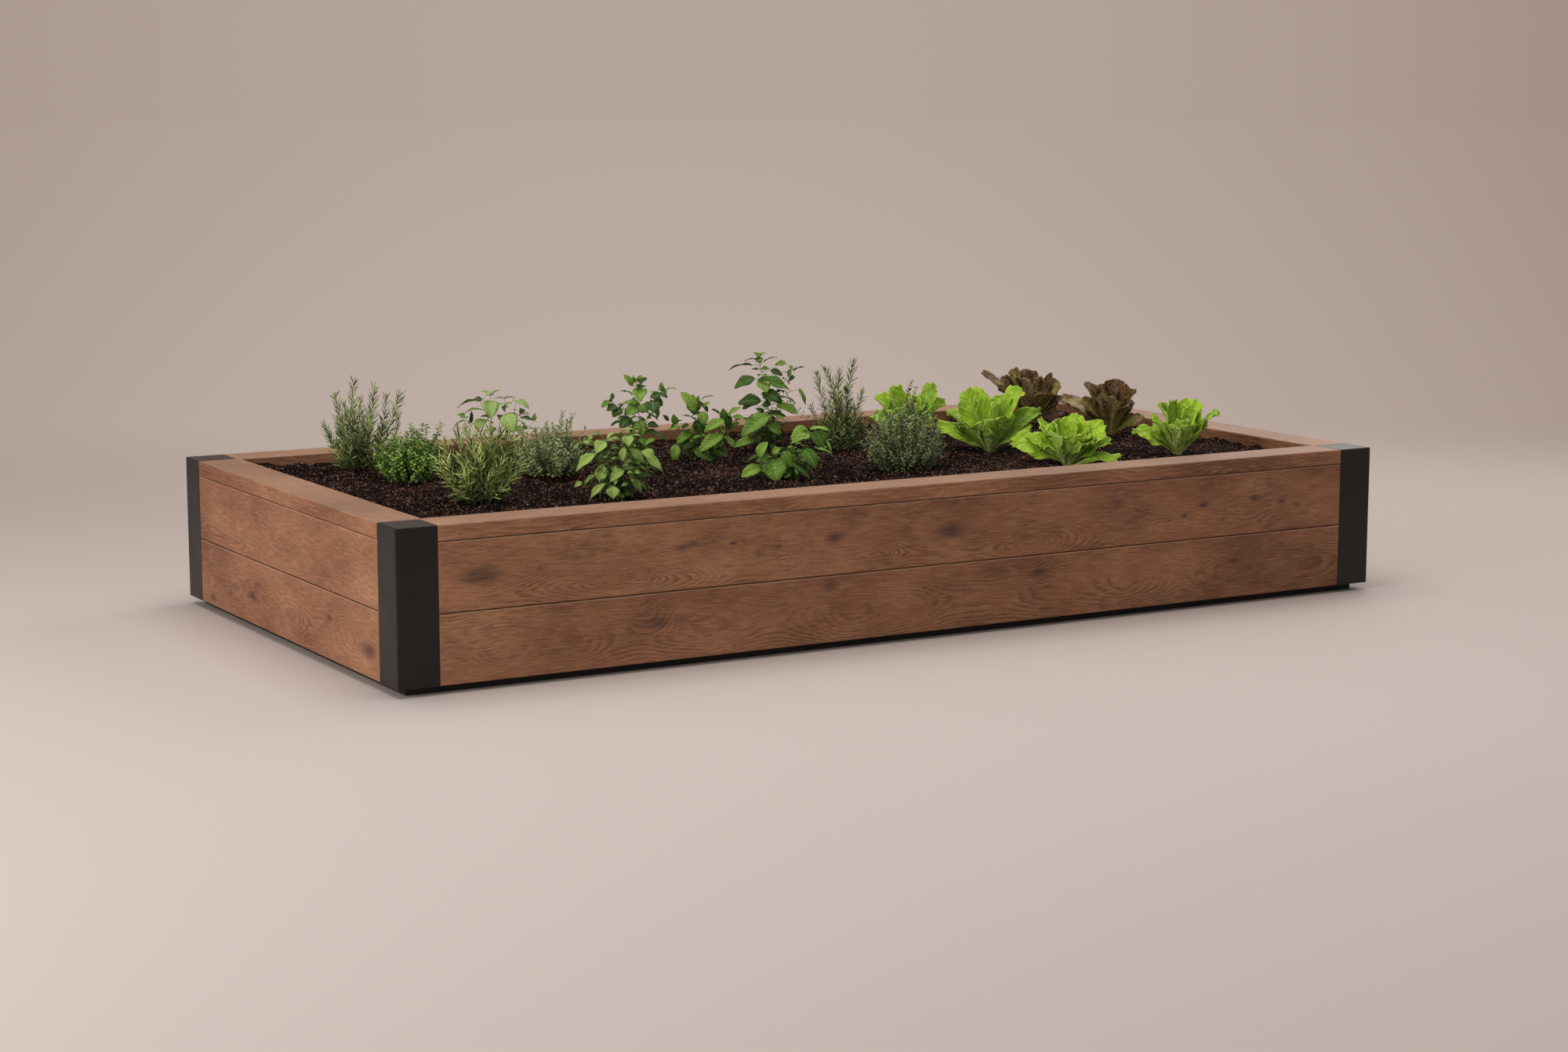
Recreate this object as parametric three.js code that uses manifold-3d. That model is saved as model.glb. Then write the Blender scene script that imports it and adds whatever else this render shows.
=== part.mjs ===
// A rectangular raised bed: a timber box with black steel corner posts on a recessed black plinth,
// filled with soil and planted with herbs and lettuces.
// Millimetres, +Z up. The origin is on the ground under the middle of the bed, and +X runs along it.
import * as THREE from 'three';
import { mergeVertices } from 'three/addons/utils/BufferGeometryUtils.js';
import Module from 'manifold-3d';

const wasm = await Module();
wasm.setup();

// Bed
const bedLength = 2400;
const bedWidth = 1200;
const fit = 0.3; // clearance between pieces that touch

// Corner posts: square steel tube with a closed top and an open foot
const postSide = 88;
const postWall = 3;
const postCornerRadius = 3;
const postTopBevel = 1.5;

// Wall boards, stacked in courses with a tongue on top and a groove below
const boardCourses = 2;
const boardHeight = 140;
const boardThickness = 45;
const boardEdgeBevel = 2;
const tongueThickness = 12;
const tongueHeight = 9;
const tongueClearance = 0.8;

// Top rail
const railWidth = 95;
const railThickness = 32;
const railEdgeBevel = 1.5;

// Plinth and the bearers across it
const plinthHeight = 17;
const plinthWidth = 45;
const plinthRecess = 27;
const bearerCount = 3;
const bearerWidth = 60;

// Base boards
const baseBoardCount = 7;
const baseBoardThickness = 20;
const drainGap = 16;

// Inner corner brackets, folded from sheet steel
const bracketThickness = 3;
const bracketLeg = 40;
const bracketTopGap = 35;

// Liner tray
const linerWall = 2;
const drainSlotLength = 60;
const drainSlotWidth = 6;
const drainSlotsAlong = 2;

// Soil
const soilBelowRim = 20;
const moundRise = 4; // mounds, and the clods on them, above and below the soil's level
const moundPitch = 290;
const clodRise = 4;
const clodPitch = 110;
const soilCell = 30; // side of the squares that the soil's surface is drawn in

// Plants: each stands on a root ball that sits in its own pocket in the soil
const rootDiameter = 44;
const rootDepth = 60;
const crownRise = 3;
const leafClearance = 1;
const leafThickness = 3;
const stemDiameter = 5;
const needleLength = 15;
const lowLeafLift = 2 * (moundRise + clodRise); // keeps the lowest leaves above the highest soil
const crownRadius = 15;

// Name, kind, place along and across as shares of the planting area's half length and half width,
// height, spread, turn in degrees, and number of sprigs, stems or leaves.
const plants = [
  ['rosemary_left_back', 'rosemary', -0.8, 0.716, 198, 186, 20, 7],
  ['rosemary_left_front', 'rosemary', -0.774, -0.465, 176, 214, 5, 9],
  ['rosemary_centre', 'rosemary', 0.214, 0.274, 212, 150, 50, 6],
  ['oregano_left', 'bush', -0.781, 0.233, 124, 156, 15, 3],
  ['thyme_left', 'bush', -0.507, 0.112, 142, 154, 60, 4],
  ['thyme_centre', 'bush', 0.147, -0.485, 146, 194, 80, 2],
  ['sage_left_back', 'herb', -0.512, 0.592, 160, 190, 10, 5],
  ['basil_left_front', 'herb', -0.519, -0.616, 140, 182, 35, 6],
  ['mint_left', 'herb', -0.345, -0.036, 208, 174, 0, 4],
  ['mint_centre', 'herb', -0.126, 0.256, 145, 188, 25, 5],
  ['mint_tall', 'herb', 0.086, 0.469, 227, 190, 70, 3],
  ['mint_front', 'herb', -0.1195, -0.46, 116, 188, 45, 6],
  ['green_lettuce_back', 'lettuce', 0.33, 0.127, 148, 178, 0, 7],
  ['green_lettuce_middle', 'lettuce', 0.462, -0.139, 150, 242, 30, 8],
  ['green_lettuce_front', 'lettuce', 0.487, -0.676, 120, 236, 55, 8],
  ['green_lettuce_right', 'lettuce', 0.765, -0.686, 132, 198, 15, 7],
  ['red_lettuce_back', 'lettuce', 0.802, 0.583, 145, 202, 75, 8],
  ['red_lettuce_right', 'lettuce', 0.834, 0.033, 138, 184, 40, 7],
].map(([name, kind, along, across, height, spread, turn, count]) => (
  { name, kind, along, across, height, spread, turn, count }));

// Levels worked out from the sizes above
const boardPitch = boardHeight + fit;
const wallFoot = plinthHeight + fit;
const railFoot = wallFoot + boardCourses * boardPitch;
const rimTop = railFoot + railThickness;
const baseTop = wallFoot + baseBoardThickness;
const linerFoot = baseTop + fit;
const linerTop = railFoot - fit;
const soilLevel = rimTop - soilBelowRim;
const halfLength = bedLength / 2;
const halfWidth = bedWidth / 2;
const plantingInset = Math.max(railWidth, postSide) + fit;
const plantingHalfLength = halfLength - plantingInset;
const plantingHalfWidth = halfWidth - plantingInset;
const soilStepsAlong = Math.round(2 * plantingHalfLength / soilCell);
const soilStepsAcross = Math.round(2 * plantingHalfWidth / soilCell);

const materials = {
  steel: new THREE.MeshStandardMaterial({ color: 0x1d1b1a, roughness: 0.55, metalness: 0.3 }),
  wall: new THREE.MeshStandardMaterial({ color: 0x7a4e36, roughness: 0.6, metalness: 0 }),
  rim: new THREE.MeshStandardMaterial({ color: 0xa9775a, roughness: 0.6, metalness: 0 }),
  plinth: new THREE.MeshStandardMaterial({ color: 0x161413, roughness: 0.8, metalness: 0 }),
  base: new THREE.MeshStandardMaterial({ color: 0x8a6a4c, roughness: 0.75, metalness: 0 }),
  liner: new THREE.MeshStandardMaterial({ color: 0x16181a, roughness: 0.6, metalness: 0 }),
  soil: new THREE.MeshStandardMaterial({ color: 0x221712, roughness: 0.95, metalness: 0 }),
  rosemary: new THREE.MeshStandardMaterial({ color: 0x66784a, roughness: 0.7, metalness: 0 }),
  bush: new THREE.MeshStandardMaterial({ color: 0x6d8552, roughness: 0.75, metalness: 0 }),
  herb: new THREE.MeshStandardMaterial({ color: 0x5f9040, roughness: 0.6, metalness: 0 }),
  lettuce: new THREE.MeshStandardMaterial({ color: 0x8dbb3c, roughness: 0.5, metalness: 0 }),
  redLettuce: new THREE.MeshStandardMaterial({ color: 0x54352a, roughness: 0.5, metalness: 0 }),
};

const bed = new THREE.Group();

function place(name, geometry, material) {
  const mesh = new THREE.Mesh(geometry, material);
  mesh.name = name;
  bed.add(mesh);
}

// Closed solids and their joins and cuts

function toSolid(geometry) {
  const bare = geometry.clone();
  bare.deleteAttribute('normal');
  bare.deleteAttribute('uv');
  const merged = mergeVertices(bare);
  return new wasm.Manifold(new wasm.Mesh({
    numProp: 3,
    vertProperties: new Float32Array(merged.attributes.position.array),
    triVerts: new Uint32Array(merged.index.array),
  }));
}

function toGeometry(solid) {
  const mesh = solid.getMesh();
  const geometry = new THREE.BufferGeometry();
  const corners = new Float32Array(mesh.numVert * 3);
  for (let i = 0; i < mesh.numVert; i++) {
    for (let axis = 0; axis < 3; axis++) {
      corners[3 * i + axis] = mesh.vertProperties[mesh.numProp * i + axis];
    }
  }
  geometry.setAttribute('position', new THREE.BufferAttribute(corners, 3));
  geometry.setIndex(new THREE.BufferAttribute(new Uint32Array(mesh.triVerts), 1));
  geometry.computeVertexNormals();
  return geometry;
}

function join(geometries) {
  return geometries.map(toSolid).reduce((whole, piece) => whole.add(piece));
}

function cut(solid, geometries) {
  return geometries.map(toSolid).reduce((rest, tool) => rest.subtract(tool), solid);
}

function largest(solid) {
  const pieces = solid.decompose();
  return pieces.reduce((best, piece) => (piece.volume() > best.volume() ? piece : best));
}

function box(low, high) {
  const size = high.map((value, axis) => value - low[axis]);
  const geometry = new THREE.BoxGeometry(...size);
  geometry.translate(...low.map((value, axis) => value + size[axis] / 2));
  return geometry;
}

function indexed(points, faces) {
  const geometry = new THREE.BufferGeometry();
  const corners = points.flatMap((p) => [p.x, p.y, p.z]);
  geometry.setAttribute('position', new THREE.Float32BufferAttribute(corners, 3));
  geometry.setIndex(faces.flat());
  geometry.computeVertexNormals();
  return geometry;
}

// A closed tube through rings of equal count, each running anticlockwise seen from the last ring's end.
function skin(rings) {
  const count = rings[0].length;
  const points = rings.flat();
  const faces = [];
  for (let i = 0; i + 1 < rings.length; i++) {
    for (let j = 0; j < count; j++) {
      const next = (j + 1) % count;
      const [a, b] = [i * count + j, i * count + next];
      faces.push([a, b, b + count], [a, b + count, a + count]);
    }
  }
  for (const [ring, start, step] of [[rings[0], 0, -1], [rings.at(-1), (rings.length - 1) * count, 1]]) {
    const centre = ring.reduce((sum, p) => sum.add(p), new THREE.Vector3()).divideScalar(count);
    const middle = points.push(centre) - 1;
    for (let j = 0; j < count; j++) {
      const next = (j + 1) % count;
      faces.push(step > 0 ? [middle, start + j, start + next] : [middle, start + next, start + j]);
    }
  }
  return indexed(points, faces);
}

// A convex outline moved inwards by the same distance on every side.
function insetOutline(outline, inset) {
  return outline.map((point, i) => {
    const before = outline[(i + outline.length - 1) % outline.length];
    const after = outline[(i + 1) % outline.length];
    const edgeIn = new THREE.Vector2().subVectors(point, before).normalize();
    const edgeOut = new THREE.Vector2().subVectors(after, point).normalize();
    const normals = [edgeIn, edgeOut].map((edge) => new THREE.Vector2(-edge.y, edge.x));
    const sum = new THREE.Vector2().addVectors(...normals);
    return point.clone().addScaledVector(sum, inset / (1 + normals[0].dot(normals[1])));
  });
}

// An upright solid over an anticlockwise outline, with its top edge bevelled.
function bevelledPrism(outline, foot, top, bevel) {
  const level = (z, inset) => insetOutline(outline, inset).map((p) => new THREE.Vector3(p.x, p.y, z));
  return skin([level(foot, 0), level(top - bevel, 0), level(top, bevel)]);
}

function outlineOf(pairs) {
  return pairs.map(([x, y]) => new THREE.Vector2(x, y));
}

function extrudeUp(outline, foot, top) {
  const shape = new THREE.Shape(outline);
  const geometry = new THREE.ExtrudeGeometry(shape, { depth: top - foot, bevelEnabled: false });
  geometry.translate(0, 0, foot);
  return geometry;
}

// A solid whose section lies across its run: section points are (distance in from the outer face, height).
function extrudeAlong(section, from, to) {
  const shape = new THREE.Shape(section);
  const geometry = new THREE.ExtrudeGeometry(shape, { depth: to - from, bevelEnabled: false });
  geometry.translate(0, 0, from);
  // The section's x turns to +Y, its y to +Z, and its run to +X.
  geometry.applyMatrix4(new THREE.Matrix4().makeBasis(
    new THREE.Vector3(0, 1, 0), new THREE.Vector3(0, 0, 1), new THREE.Vector3(1, 0, 0)));
  return geometry;
}

// The four sides: each is drawn as the front side, from the post at its left end, and turned to its place.
const sides = [
  { name: 'front', post: 'front_left', run: bedLength, quarterTurns: 0, x: -halfLength, y: -halfWidth },
  { name: 'right', post: 'front_right', run: bedWidth, quarterTurns: 1, x: halfLength, y: -halfWidth },
  { name: 'back', post: 'back_right', run: bedLength, quarterTurns: 2, x: halfLength, y: halfWidth },
  { name: 'left', post: 'back_left', run: bedWidth, quarterTurns: 3, x: -halfLength, y: halfWidth },
];

function onSide(side, geometry) {
  geometry.rotateZ(side.quarterTurns * Math.PI / 2);
  geometry.translate(side.x, side.y, 0);
  return geometry;
}

// Corner posts

function roundedSquare(side, radius, steps) {
  const outline = [];
  for (let corner = 0; corner < 4; corner++) {
    const middle = new THREE.Vector2(side / 2 - radius, side / 2 - radius)
      .rotateAround(new THREE.Vector2(), corner * Math.PI / 2);
    for (let i = 0; i <= steps; i++) {
      const angle = (corner + i / steps) * Math.PI / 2;
      outline.push(new THREE.Vector2(Math.cos(angle), Math.sin(angle)).multiplyScalar(radius).add(middle));
    }
  }
  return outline;
}

function cornerPost() {
  const outline = roundedSquare(postSide, postCornerRadius, 2);
  const outside = bevelledPrism(outline, wallFoot, rimTop, postTopBevel);
  const bore = postSide / 2 - postWall;
  const inside = box([-bore, -bore, 0], [bore, bore, rimTop - postWall]);
  const geometry = toGeometry(cut(toSolid(outside), [inside]));
  geometry.translate(postSide / 2, postSide / 2, 0);
  return geometry;
}

// Top rail: its inner corners are mitred where it passes the posts
function topRail(run) {
  const start = postSide + fit;
  const end = run - start;
  const mitred = railWidth > postSide;
  const corner = mitred ? railWidth + fit : start;
  const outline = outlineOf([
    [start, 0], [end, 0],
    ...(mitred ? [[end, postSide - fit], [run - corner, railWidth]] : [[end, railWidth]]),
    ...(mitred ? [[corner, railWidth], [start, postSide - fit]] : [[start, railWidth]]),
  ]);
  const body = toSolid(bevelledPrism(outline, railFoot, rimTop, railEdgeBevel));
  return toGeometry(cut(body, [tongueGroove(run, railFoot)]));
}

function tongueGroove(run, foot) {
  const middle = boardThickness / 2;
  const reach = tongueThickness / 2 + tongueClearance;
  return box([0, middle - reach, foot - fit], [run, middle + reach, foot + tongueHeight + tongueClearance]);
}

// Wall boards
function wallBoard(run, course) {
  const foot = wallFoot + course * boardPitch;
  const top = foot + boardHeight;
  const tongueFrom = (boardThickness - tongueThickness) / 2;
  const section = outlineOf([
    [0, foot + boardEdgeBevel], [boardEdgeBevel, foot], [boardThickness, foot],
    [boardThickness, top],
    [tongueFrom + tongueThickness, top], [tongueFrom + tongueThickness, top + tongueHeight],
    [tongueFrom, top + tongueHeight], [tongueFrom, top],
    [boardEdgeBevel, top], [0, top - boardEdgeBevel],
  ]);
  const body = toSolid(extrudeAlong(section, postSide + fit, run - postSide - fit));
  return toGeometry(cut(body, [tongueGroove(run, foot)]));
}

// Folded bracket: it wraps a post's inner corner and lies along the boards on both sides
function cornerBracket() {
  const touch = boardThickness + fit;
  const post = postSide + fit;
  const leg = postSide + bracketLeg;
  const outline = outlineOf([
    [leg, touch], [leg, touch + bracketThickness], [post + bracketThickness, touch + bracketThickness],
    [post + bracketThickness, post + bracketThickness], [touch + bracketThickness, post + bracketThickness],
    [touch + bracketThickness, leg], [touch, leg], [touch, post], [post, post], [post, touch],
  ]);
  return extrudeUp(outline, baseTop + fit, railFoot - bracketTopGap);
}

// Plinth rails under the walls: the long ones run through, the short ones fit between them
function plinthRail(side) {
  const runsThrough = side.quarterTurns % 2 === 0;
  const endGap = plinthRecess + (runsThrough ? 0 : plinthWidth + fit);
  return box([endGap, plinthRecess, 0], [side.run - endGap, plinthRecess + plinthWidth, plinthHeight]);
}

for (const side of sides) {
  place(`${side.name}_plinth`, onSide(side, plinthRail(side)), materials.plinth);
  place(`${side.post}_post`, onSide(side, cornerPost()), materials.steel);
  for (let course = 0; course < boardCourses; course++) {
    place(`${side.name}_board_${course + 1}`, onSide(side, wallBoard(side.run, course)), materials.wall);
  }
  place(`${side.name}_rail`, onSide(side, topRail(side.run)), materials.rim);
  place(`${side.post}_bracket`, onSide(side, cornerBracket()), materials.steel);
}

// Bearers across the bed, between the long plinth rails
const bearerReach = halfWidth - plinthRecess - plinthWidth - fit;
for (let i = 0; i < bearerCount; i++) {
  const x = -halfLength + (i + 1) * bedLength / (bearerCount + 1);
  const [left, right] = [x - bearerWidth / 2, x + bearerWidth / 2];
  place(`bearer_${i + 1}`, box([left, -bearerReach, 0], [right, bearerReach, plinthHeight]), materials.base);
}

// Base boards: the outer two stop short of the posts
const baseHalfWidth = halfWidth - boardThickness - fit;
const baseBoardWidth = (2 * baseHalfWidth - (baseBoardCount - 1) * drainGap) / baseBoardCount;
const basePitch = baseBoardWidth + drainGap;
for (let i = 0; i < baseBoardCount; i++) {
  const y = -baseHalfWidth + i * basePitch;
  const meetsPosts = Math.max(Math.abs(y), Math.abs(y + baseBoardWidth)) > halfWidth - postSide - fit;
  const reach = halfLength - fit - (meetsPosts ? postSide : boardThickness);
  const board = box([-reach, y, wallFoot], [reach, y + baseBoardWidth, baseTop]);
  place(`base_board_${i + 1}`, board, materials.base);
}

// Liner tray: a rectangle with its corners notched round the posts
function notchedOutline(inset) {
  const [x, y] = [halfLength - inset, halfWidth - inset];
  const notch = postSide - boardThickness;
  return outlineOf([
    [x - notch, -y], [x - notch, notch - y], [x, notch - y],
    [x, y - notch], [x - notch, y - notch], [x - notch, y],
    [notch - x, y], [notch - x, y - notch], [-x, y - notch],
    [-x, notch - y], [notch - x, notch - y], [notch - x, -y],
  ]);
}

const linerInset = boardThickness + bracketThickness + 2 * fit;
const linerInside = linerInset + linerWall;
const drainSlots = [];
for (let gap = 0; gap + 1 < baseBoardCount; gap++) {
  const y = -baseHalfWidth + baseBoardWidth + drainGap / 2 + gap * basePitch;
  for (let i = 0; i < drainSlotsAlong; i++) {
    const x = -halfLength + (i + 0.5) * bedLength / drainSlotsAlong;
    drainSlots.push(box(
      [x - drainSlotLength / 2, y - drainSlotWidth / 2, linerFoot - linerWall],
      [x + drainSlotLength / 2, y + drainSlotWidth / 2, linerFoot + 2 * linerWall]));
  }
}
const linerBlock = toSolid(extrudeUp(notchedOutline(linerInset), linerFoot, linerTop));
const linerSpace = extrudeUp(notchedOutline(linerInside), linerFoot + linerWall, rimTop);
place('liner', toGeometry(cut(linerBlock, [linerSpace, ...drainSlots])), materials.liner);

// Soil: a block inside the liner, and an uneven bed of it inside the rim
const swayAlong = 1.3;
const swayAcross = 0.8;
const stretchAlong = 0.7;

// Humps from -1 to 1 that repeat about once in a pitch, crossed so that no two rows line up
function humps(x, y, pitch) {
  const turn = 2 * Math.PI / pitch;
  const along = Math.sin(turn * x + swayAlong * Math.sin(turn * y));
  const across = Math.sin(swayAlong * turn * y + swayAcross * Math.sin(stretchAlong * turn * x));
  return (along + across) / 2;
}

function soilHeight(x, y) {
  return soilLevel + moundRise * humps(x, y, moundPitch) + clodRise * humps(x, y, clodPitch);
}

// A block from the foot up to the soil's surface, on a grid over the planting area.
function soilTop(foot) {
  const points = [];
  const faces = [];
  const columns = soilStepsAcross + 1;
  const underside = (soilStepsAlong + 1) * columns;
  for (const surface of [soilHeight, () => foot]) {
    for (let i = 0; i <= soilStepsAlong; i++) {
      const x = plantingHalfLength * (2 * i / soilStepsAlong - 1);
      for (let j = 0; j <= soilStepsAcross; j++) {
        const y = plantingHalfWidth * (2 * j / soilStepsAcross - 1);
        points.push(new THREE.Vector3(x, y, surface(x, y)));
      }
    }
  }
  for (let i = 0; i < soilStepsAlong; i++) {
    for (let j = 0; j < soilStepsAcross; j++) {
      const a = i * columns + j;
      const [b, c, d] = [a + columns, a + columns + 1, a + 1];
      faces.push([a, b, c], [a, c, d]);
      const [e, f, g, h] = [a, b, c, d].map((corner) => corner + underside);
      faces.push([e, g, f], [e, h, g]);
    }
  }
  const wall = (a, b) => faces.push([b, a, a + underside], [b, a + underside, b + underside]);
  for (let i = 0; i < soilStepsAlong; i++) {
    wall(i * columns, (i + 1) * columns);
    wall((i + 1) * columns + soilStepsAcross, i * columns + soilStepsAcross);
  }
  for (let j = 0; j < soilStepsAcross; j++) {
    wall(j + 1, j);
    wall(soilStepsAlong * columns + j, soilStepsAlong * columns + j + 1);
  }
  return indexed(points, faces);
}

function rootBall(plant, radius, foot, top) {
  const geometry = new THREE.CylinderGeometry(radius, radius, top - foot, 6);
  geometry.rotateX(Math.PI / 2);
  geometry.translate(plant.x, plant.y, (foot + top) / 2);
  return geometry;
}

for (const plant of plants) {
  plant.x = plant.along * plantingHalfLength;
  plant.y = plant.across * plantingHalfWidth;
  plant.z = soilHeight(plant.x, plant.y);
}

const soilBlock = extrudeUp(notchedOutline(linerInside + fit), linerFoot + linerWall + fit, linerTop);
const pocketRadius = rootDiameter / 2 + fit;
const pockets = plants.map((plant) => rootBall(plant, pocketRadius, plant.z - rootDepth - fit, rimTop));
const soilBody = join([soilBlock, soilTop(linerTop - rootDepth)]);
place('soil', toGeometry(cut(soilBody, pockets)), materials.soil);

// Plants. Each is drawn round its crown at the origin, in polar steps, and moved to its place.
const goldenTurn = Math.PI * (3 - Math.sqrt(5));
const indexStride = 12.9898; // radians between neighbours, far from any whole share of a turn
const saltStride = 78.233;

function polar(angle, radius, z) {
  return new THREE.Vector3(radius * Math.cos(angle), radius * Math.sin(angle), z);
}

// A value between -1 and 1 that differs from one leaf to the next but never changes.
function vary(index, salt) {
  return Math.sin(indexStride * (index + 1) + saltStride * salt);
}

// A closed tube along path(s); every other point of its section is drawn in by the given share.
function stalk(path, radius, steps, sidesCount, across, starDepth = 0) {
  const probe = 0.01;
  const rings = [];
  for (let i = 0; i <= steps; i++) {
    const s = i / steps;
    const ahead = path(Math.min(1, s + probe)).sub(path(Math.max(0, s - probe))).normalize();
    const side = new THREE.Vector3().crossVectors(across, ahead).normalize();
    const up = new THREE.Vector3().crossVectors(ahead, side);
    const ring = [];
    for (let j = 0; j < sidesCount; j++) {
      const angle = 2 * Math.PI * j / sidesCount + i * starDepth;
      const r = radius(s) * (j % 2 ? 1 - starDepth : 1);
      ring.push(path(s)
        .addScaledVector(side, r * Math.cos(angle))
        .addScaledVector(up, r * Math.sin(angle)));
    }
    rings.push(ring);
  }
  return skin(rings);
}

// A closed leaf of even thickness over surface(u, v), u from base to tip and v from -1 to 1 across.
function leafSheet(surface, alongSteps, acrossSteps, thickness) {
  const probe = 0.02;
  const points = [];
  const faces = [];
  const columns = acrossSteps + 1;
  const under = (alongSteps + 1) * columns;
  for (const lift of [thickness / 2, -thickness / 2]) {
    for (let i = 0; i <= alongSteps; i++) {
      for (let j = 0; j <= acrossSteps; j++) {
        const [u, v] = [i / alongSteps, 2 * j / acrossSteps - 1];
        const alongEdge = surface(u + probe, v).sub(surface(u - probe, v));
        const acrossEdge = surface(u, v + probe).sub(surface(u, v - probe));
        const normal = new THREE.Vector3().crossVectors(alongEdge, acrossEdge).normalize();
        points.push(surface(u, v).addScaledVector(normal, lift));
      }
    }
  }
  const quad = (a, b, c, d) => faces.push([a, b, c], [a, c, d]);
  for (let i = 0; i < alongSteps; i++) {
    for (let j = 0; j < acrossSteps; j++) {
      const a = i * columns + j;
      quad(a, a + columns, a + columns + 1, a + 1);
      quad(a + under, a + 1 + under, a + columns + 1 + under, a + columns + under);
    }
    const [left, right] = [i * columns, i * columns + acrossSteps];
    quad(left, left + under, left + columns + under, left + columns);
    quad(right, right + columns, right + columns + under, right + under);
  }
  for (let j = 0; j < acrossSteps; j++) {
    const [base, tip] = [j, alongSteps * columns + j];
    quad(base, base + 1, base + 1 + under, base + under);
    quad(tip, tip + under, tip + 1 + under, tip + 1);
  }
  return indexed(points, faces);
}

// Two opposite pointed leaves in one piece that passes through their stem and droops to both tips
function leafPair(middle, heading, length, width, droop) {
  const out = polar(heading, 1, 0);
  const side = polar(heading + Math.PI / 2, 1, 0);
  const broadest = 0.42;
  const waist = 0.3;
  const at = (share, across, lift) => middle.clone()
    .addScaledVector(out, length * share)
    .addScaledVector(side, across * width / 2)
    .add(new THREE.Vector3(0, 0, lift - droop * share * share));
  const outline = [[1, 0], [broadest, 1], [0, waist], [-broadest, 1], [-1, 0], [-broadest, -1],
    [0, -waist], [broadest, -1]].map(([share, across]) => at(share, across, 0));
  const ridges = [leafThickness / 2, -leafThickness / 2].flatMap(
    (lift) => [at(broadest, 0, lift), at(-broadest, 0, lift)]);
  const upper = [[8, 6, 7], [8, 7, 0], [8, 0, 1], [8, 1, 2], [9, 2, 3], [9, 3, 4], [9, 4, 5], [9, 5, 6],
    [8, 2, 9], [9, 6, 8]];
  const lower = upper.map((face) => face.map((i) => (i >= 8 ? i + 2 : i)).reverse());
  return indexed([...outline, ...ridges], [...upper, ...lower]);
}

// Where stem number i of a plant leaves its crown, and how far out of the middle it grows, from 0 to 1
const outwardPower = 0.4;

function stemStart(plant, i) {
  const outward = (i / (plant.count - 1)) ** outwardPower;
  return { angle: plant.turn + i * goldenTurn, outward, start: crownRadius * outward };
}

// Rosemary: sprigs of needles that rise and spread from the crown
const sprig = { stoop: 0.42, unevenness: 0.05, leanPower: 1.5, risePower: 0.9, swellPower: 0.7,
  taper: 0.35, starDepth: 0.45, steps: 4, sides: 6 };

function rosemary(plant) {
  return Array.from({ length: plant.count }, (_, i) => {
    const { angle, outward, start } = stemStart(plant, i);
    const reach = (plant.spread / 2 - needleLength / 2) * outward;
    const droop = 1 - sprig.stoop * outward * outward + sprig.unevenness * vary(i, 1);
    const rise = (plant.height - needleLength) * droop;
    const path = (s) => polar(angle, start + (reach - start) * s ** sprig.leanPower,
      rise * Math.sin(Math.PI / 2 * s ** sprig.risePower));
    const radius = (s) => stemDiameter / 2
      + needleLength * Math.sin(Math.PI * s ** sprig.swellPower) * (1 - sprig.taper * s);
    const across = polar(angle + Math.PI / 2, 1, 0);
    return stalk(path, radius, sprig.steps, sprig.sides, across, sprig.starDepth);
  });
}

// A clipped-looking bush: a lobed dome with a few sprigs that stand out of it
const dome = { rings: 7, sectors: 12, height: 0.84, topAngle: 0.04, sweep: 0.9, lobeDepth: 0.1, lobes: 3,
  reach: 0.96, fullness: 0.8 };
const tuft = { root: 0.7, from: 0.2, lean: 0.3, breadth: 0.11, taper: 0.6, steps: 2, sides: 4 };

function bush(plant) {
  const radius = plant.spread / 2;
  const height = plant.height * dome.height;
  const rings = [];
  for (let i = 0; i < dome.rings; i++) {
    const lift = i / (dome.rings - 1);
    const polarAngle = Math.PI * (dome.topAngle + dome.sweep * lift);
    rings.push(Array.from({ length: dome.sectors }, (_, j) => {
      const angle = 2 * Math.PI * j / dome.sectors;
      const wave = Math.sin(dome.lobes * angle + 2 * i + plant.turn) * Math.sin(2 * polarAngle);
      const z = lowLeafLift + (height - lowLeafLift) * (1 - Math.cos(polarAngle)) / 2;
      const breadth = dome.reach * Math.sin(polarAngle) ** dome.fullness * (1 + dome.lobeDepth * wave);
      return polar(angle, radius * breadth, z);
    }));
  }
  const foot = new THREE.CylinderGeometry(rootDiameter / 3, rootDiameter / 3, 2 * lowLeafLift, 6);
  foot.rotateX(Math.PI / 2);
  foot.translate(0, 0, lowLeafLift);
  const sprigs = Array.from({ length: plant.count }, (_, i) => {
    const angle = plant.turn + i * goldenTurn;
    const rootZ = height * tuft.root;
    const path = (s) => polar(
      angle, radius * (tuft.from + tuft.lean * s), rootZ + (plant.height - rootZ) * s);
    const thickness = (s) => radius * tuft.breadth * (1 - tuft.taper * s);
    return stalk(path, thickness, tuft.steps, tuft.sides, polar(angle + Math.PI / 2, 1, 0));
  });
  return [skin(rings), foot, ...sprigs];
}

// A leafy herb: stems with pairs of leaves, each pair turned across the one below
const leafy = { length: 0.3, breadth: 0.8, overhang: 0.4, stoop: 0.5, leanPower: 1.2, taper: 0.4,
  lowest: 0.2, highest: 0.98, unevenTurn: 0.5, footSize: 1.15, shrink: 0.45, droop: 0.25, unevenDroop: 0.2,
  fewestPairs: 2, steps: 2, sides: 4 };

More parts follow.
